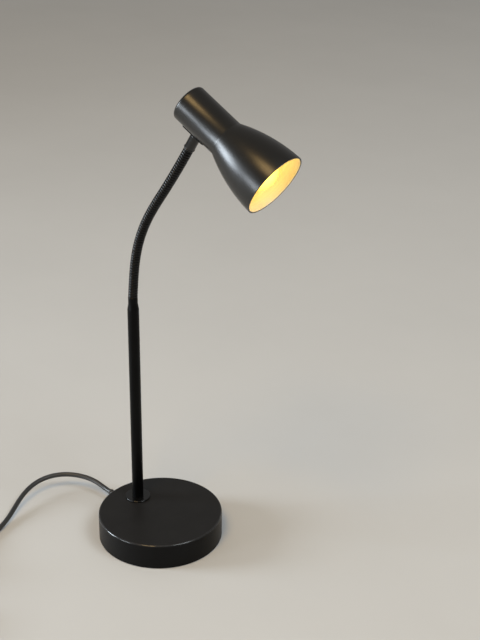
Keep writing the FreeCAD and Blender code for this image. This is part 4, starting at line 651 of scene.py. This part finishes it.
# White are the faces that look at the head's axis, and those of the closed end
# that look towards the mouth.
looks_inwards, closed_end, looks_ahead = -0.8, -0.02, 0.5
seen = (face_values(shell.data, "center")
        - np.array(head_place.translation)) @ np.array(head_turn)
facing = face_values(shell.data, "normal") @ np.array(head_turn)
aside = seen[:, 1:] / np.linalg.norm(seen[:, 1:], axis=1)[:, None]
inward = ((aside * facing[:, 1:]).sum(1) < looks_inwards) | (
    (seen[:, 0] < closed_end) & (facing[:, 0] > looks_ahead))
shell.data.polygons.foreach_set("material_index", inward.astype(np.int32))
two_colours("head_wires", middle=head_place.translation,
            across=head_turn @ Vector((0, 1, 0)))
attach(shell, "head")
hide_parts("head_shell")


# Lampholder. Black moulded plastic with a brass screw shell inside it, held by
# two screws to the bracket.
holder_skin, *_ = coat(
    "holder_skin", dark=(0.02, 0.019, 0.018), light=(0.03, 0.028, 0.026),
    smooth=0.3, rough=0.42, grain=900.0, clouds=70.0)
dress(holder_skin, "lampholder")


# Bulb. A small round bulb, lit, whose glow is painted darker towards the ball's
# outline as seen from the camera, a painted shade on the lit glass. Its plated cap
# is screwed into the lampholder.
painted_outline_shade = (0.2, 0.11, 0.02, 1)
lit, tree, shader, place = material(
    "lit_glass", Roughness=0.3, Emission_Strength=4.6)
glow = group(tree, peel, Vector=place, Grain=60.0, Clouds=30.0,
             Dark=(1.0, 0.64, 0.09, 1), Light=(1.0, 0.69, 0.12, 1),
             Smooth=0.25, Rough=0.35)
# Painted shade: the glow's colour darkens towards the outline colour where the
# glass turns away from the camera.
painted_shade_facing = tree.nodes.new("ShaderNodeLayerWeight").outputs["Facing"]
feed(tree, shader.inputs["Emission Color"],
     mixed(tree, spread(tree, painted_shade_facing, 0.0, 0.75), glow.outputs["Color"],
           painted_outline_shade))
feed(tree, shader.inputs["Base Color"], glow.outputs["Color"])
dress(lit, "bulb_glass")
dress(zinc, "bulb_cap")


# Cord switch and plug. Both are black moulded plastic on the mains cord, the
# switch in two halves with a rocker, and the plug in one piece with its cord
# sleeve, which has a grooved rubber skin.
pins, *_ = coat(
    "pins", dark=(0.6, 0.6, 0.6), light=(0.75, 0.75, 0.74),
    smooth=0.18, rough=0.3, grain=900.0, clouds=200.0, depth=0.00001,
    Metallic=1.0)
dress(pins, "plug_pins")
cord_end, relief_root_x = Vector((0.03, -0.348, 0.0068)), 0.0262
relief_root, relief_tip, relief_length, relief_hole_end = (
    0.0061, 0.0042, 0.0245, 0.0255)
relief = turned("plug_relief", eased(np.concatenate([
    sharp(ribbed_sleeve(relief_root, relief_tip, relief_length, count=7,
                        groove=0.0009)),
    [(cord_hole, relief_hole_end, 0), (cord_hole, 0.0, 0)]])),
    Matrix.Translation(cord_end + Vector((relief_root_x, 0, 0))) @ to_the_back)
relief.data.materials.append(rubber)
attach(relief, "base")


# Mains cord. Round black cord, 6 mm across, with a soft plastic sheath. One run
# goes from the bush to the switch, and the other goes on to the put-away coil
# and the plug.
cord_skin, *_ = coat(
    "cord_skin", dark=(0.02, 0.021, 0.022), light=(0.03, 0.031, 0.032),
    smooth=0.34, rough=0.46, grain=1600.0, clouds=60.0, depth=0.00003)
cord_radius = 0.003


def cord_line(name, points):
    """A round cord on a smooth line of order 3 with those control points, which
    starts at the first and ends at the last."""
    line = bpy.data.curves.new(name, "CURVE")
    line.dimensions = "3D"
    spline = line.splines.new("NURBS")
    spline.points.add(len(points) - 1)
    full = np.column_stack([points, np.ones(len(points))])
    spline.points.foreach_set("co", full.ravel())
    spline.order_u = 3
    spline.use_endpoint_u = True
    spline.resolution_u = 8
    line.bevel_depth = cord_radius
    line.bevel_resolution = 5
    line.use_fill_caps = True
    line.materials.append(cord_skin)
    made = bpy.data.objects.new(name, line)
    bpy.context.scene.collection.objects.link(made)
    return made


to_switch = np.array([
    (-97, 0, 12.5), (-108.5, 0, 12.5), (-123, -2.6, 16.9), (-138, -7.6, 19),
    (-154, -17, 19.9), (-166.5, -31.1, 20), (-173.2, -49.8, 18.9),
    (-172.8, -69.5, 15.9), (-166.6, -88.2, 12), (-157.3, -105.4, 7.8),
    (-147.2, -122.4, 4.6), (-138.2, -141, 3), (-129.5, -161.5, 3),
    (-122, -184, 5.8), (-118, -208, 9.5), (-118, -228, 9.5)]) / 1000
cord_in = cord_line("cord_at_base", to_switch)
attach(cord_in, "base")
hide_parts("cord_to_switch")

# Each half turn of the coil has six control points on a circle whose radius is
# divided by the cosine of half their step, so that the line itself keeps the
# half turn's radius. The coil winds inwards, climbs and winds outwards again.
half_turns = np.array([44, 40.65, 37.3, 33.95, 30.6, 27.25, 23.9, 27.25, 30.6,
                       33.95, 37.3, 40.65]) / 1000
coil_middle_x, coil_start_y, layer_rise = -0.035, -0.356, 0.0067
point_step, half_turns_below = 30, 6
number = np.arange(len(half_turns))
side = np.where(number % 2 == 0, 1.0, -1.0)
travel = np.concatenate([[0.0], np.cumsum(2 * half_turns * side)])
middle_y = coil_start_y + travel[:-1] + half_turns * side
angle = np.radians(np.arange(point_step / 2, 180, point_step))
wide = half_turns[:, None] / math.cos(math.radians(point_step / 2))
climb = np.clip(number[:, None] - half_turns_below + angle / np.pi, 0, 1)
coil = np.stack([coil_middle_x + side[:, None] * wide * np.sin(angle),
                 middle_y[:, None] - side[:, None] * wide * np.cos(angle),
                 cord_radius + layer_rise * climb], -1).reshape(-1, 3)
to_coil = np.array([
    (-118, -278, 9.5), (-118, -296, 9.5), (-116, -316, 5.6), (-106, -334, 3),
    (-87, -351.5, 3), (-63, -356, 3), (-41, -356, 3)]) / 1000
to_plug = np.array([
    (-29, -356, 9.7), (-15, -356, 9.7), (1, -353, 8.2), (16, -348, 6.8),
    (30, -348, 6.8)]) / 1000
cord_out = cord_line("cord_put_away", np.concatenate([to_coil, coil, to_plug]))
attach(cord_out, "base")
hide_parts("cord_to_coil", "cord_coil", "cord_to_plug")
dress(cord_skin, "cord_inner")


# Floor and light. A wide pale floor under a pale world, with four soft lamps:
# two cool ones low on the picture's left, and a warm one and the main one high
# up behind the camera.
floor_reach = 20
floor_mesh = bpy.data.meshes.new("floor")
floor_mesh.from_pydata(
    [(-floor_reach, -floor_reach, 0), (floor_reach, -floor_reach, 0),
     (floor_reach, floor_reach, 0), (-floor_reach, floor_reach, 0)],
    [], [(0, 1, 2, 3)])
floor = bpy.data.objects.new("floor", floor_mesh)
bpy.context.scene.collection.objects.link(floor)
floor_paint, *_ = coat(
    "floor_paint", dark=(0.51, 0.52, 0.52), light=(0.53, 0.54, 0.54),
    smooth=0.7, rough=0.8, grain=300.0, clouds=3.0, depth=0.00001)
floor_mesh.materials.append(floor_paint)

world = bpy.data.worlds.new("world")
world.use_nodes = True
bpy.context.scene.world = world
background = world.node_tree.nodes["Background"].inputs
background["Color"].default_value = (1, 0.99, 0.97, 1)
background["Strength"].default_value = 0.3


def lamp(name, where, aim, size, power, colour, beam=180.0):
    """A soft rectangular lamp that points from one place to another."""
    light = bpy.data.lights.new(name, "AREA")
    light.shape = "RECTANGLE"
    light.size, light.size_y = size
    light.energy = power
    light.color = colour
    light.spread = math.radians(beam)
    made = bpy.data.objects.new(name, light)
    way = Vector(aim) - Vector(where)
    made.matrix_world = Matrix.LocRotScale(
        Vector(where), way.to_track_quat("-Z", "Y"), None)
    bpy.context.scene.collection.objects.link(made)


near_head, over_base = (0.1, 0.0, 0.5), (0.0, 0.0, 0.1)
lamp("window", (-2.6, -2.7, 1.1), near_head, size=(1.3, 1.4), power=26.0,
     colour=(0.82, 0.91, 1), beam=70.0)
lamp("sky", (-0.92, -3.84, 0.6), near_head, size=(1.2, 1.0), power=8.0,
     colour=(0.86, 0.93, 1), beam=70.0)
lamp("warm", (1.0, -2.5, 4.7), near_head, size=(1.8, 1.8), power=112.0,
     colour=(1, 0.66, 0.27))
lamp("main", (3.3, 0.5, 4.4), over_base, size=(2.2, 2.2), power=115.0,
     colour=(0.9, 0.96, 1))
bpy.context.scene.view_settings.view_transform = "Standard"
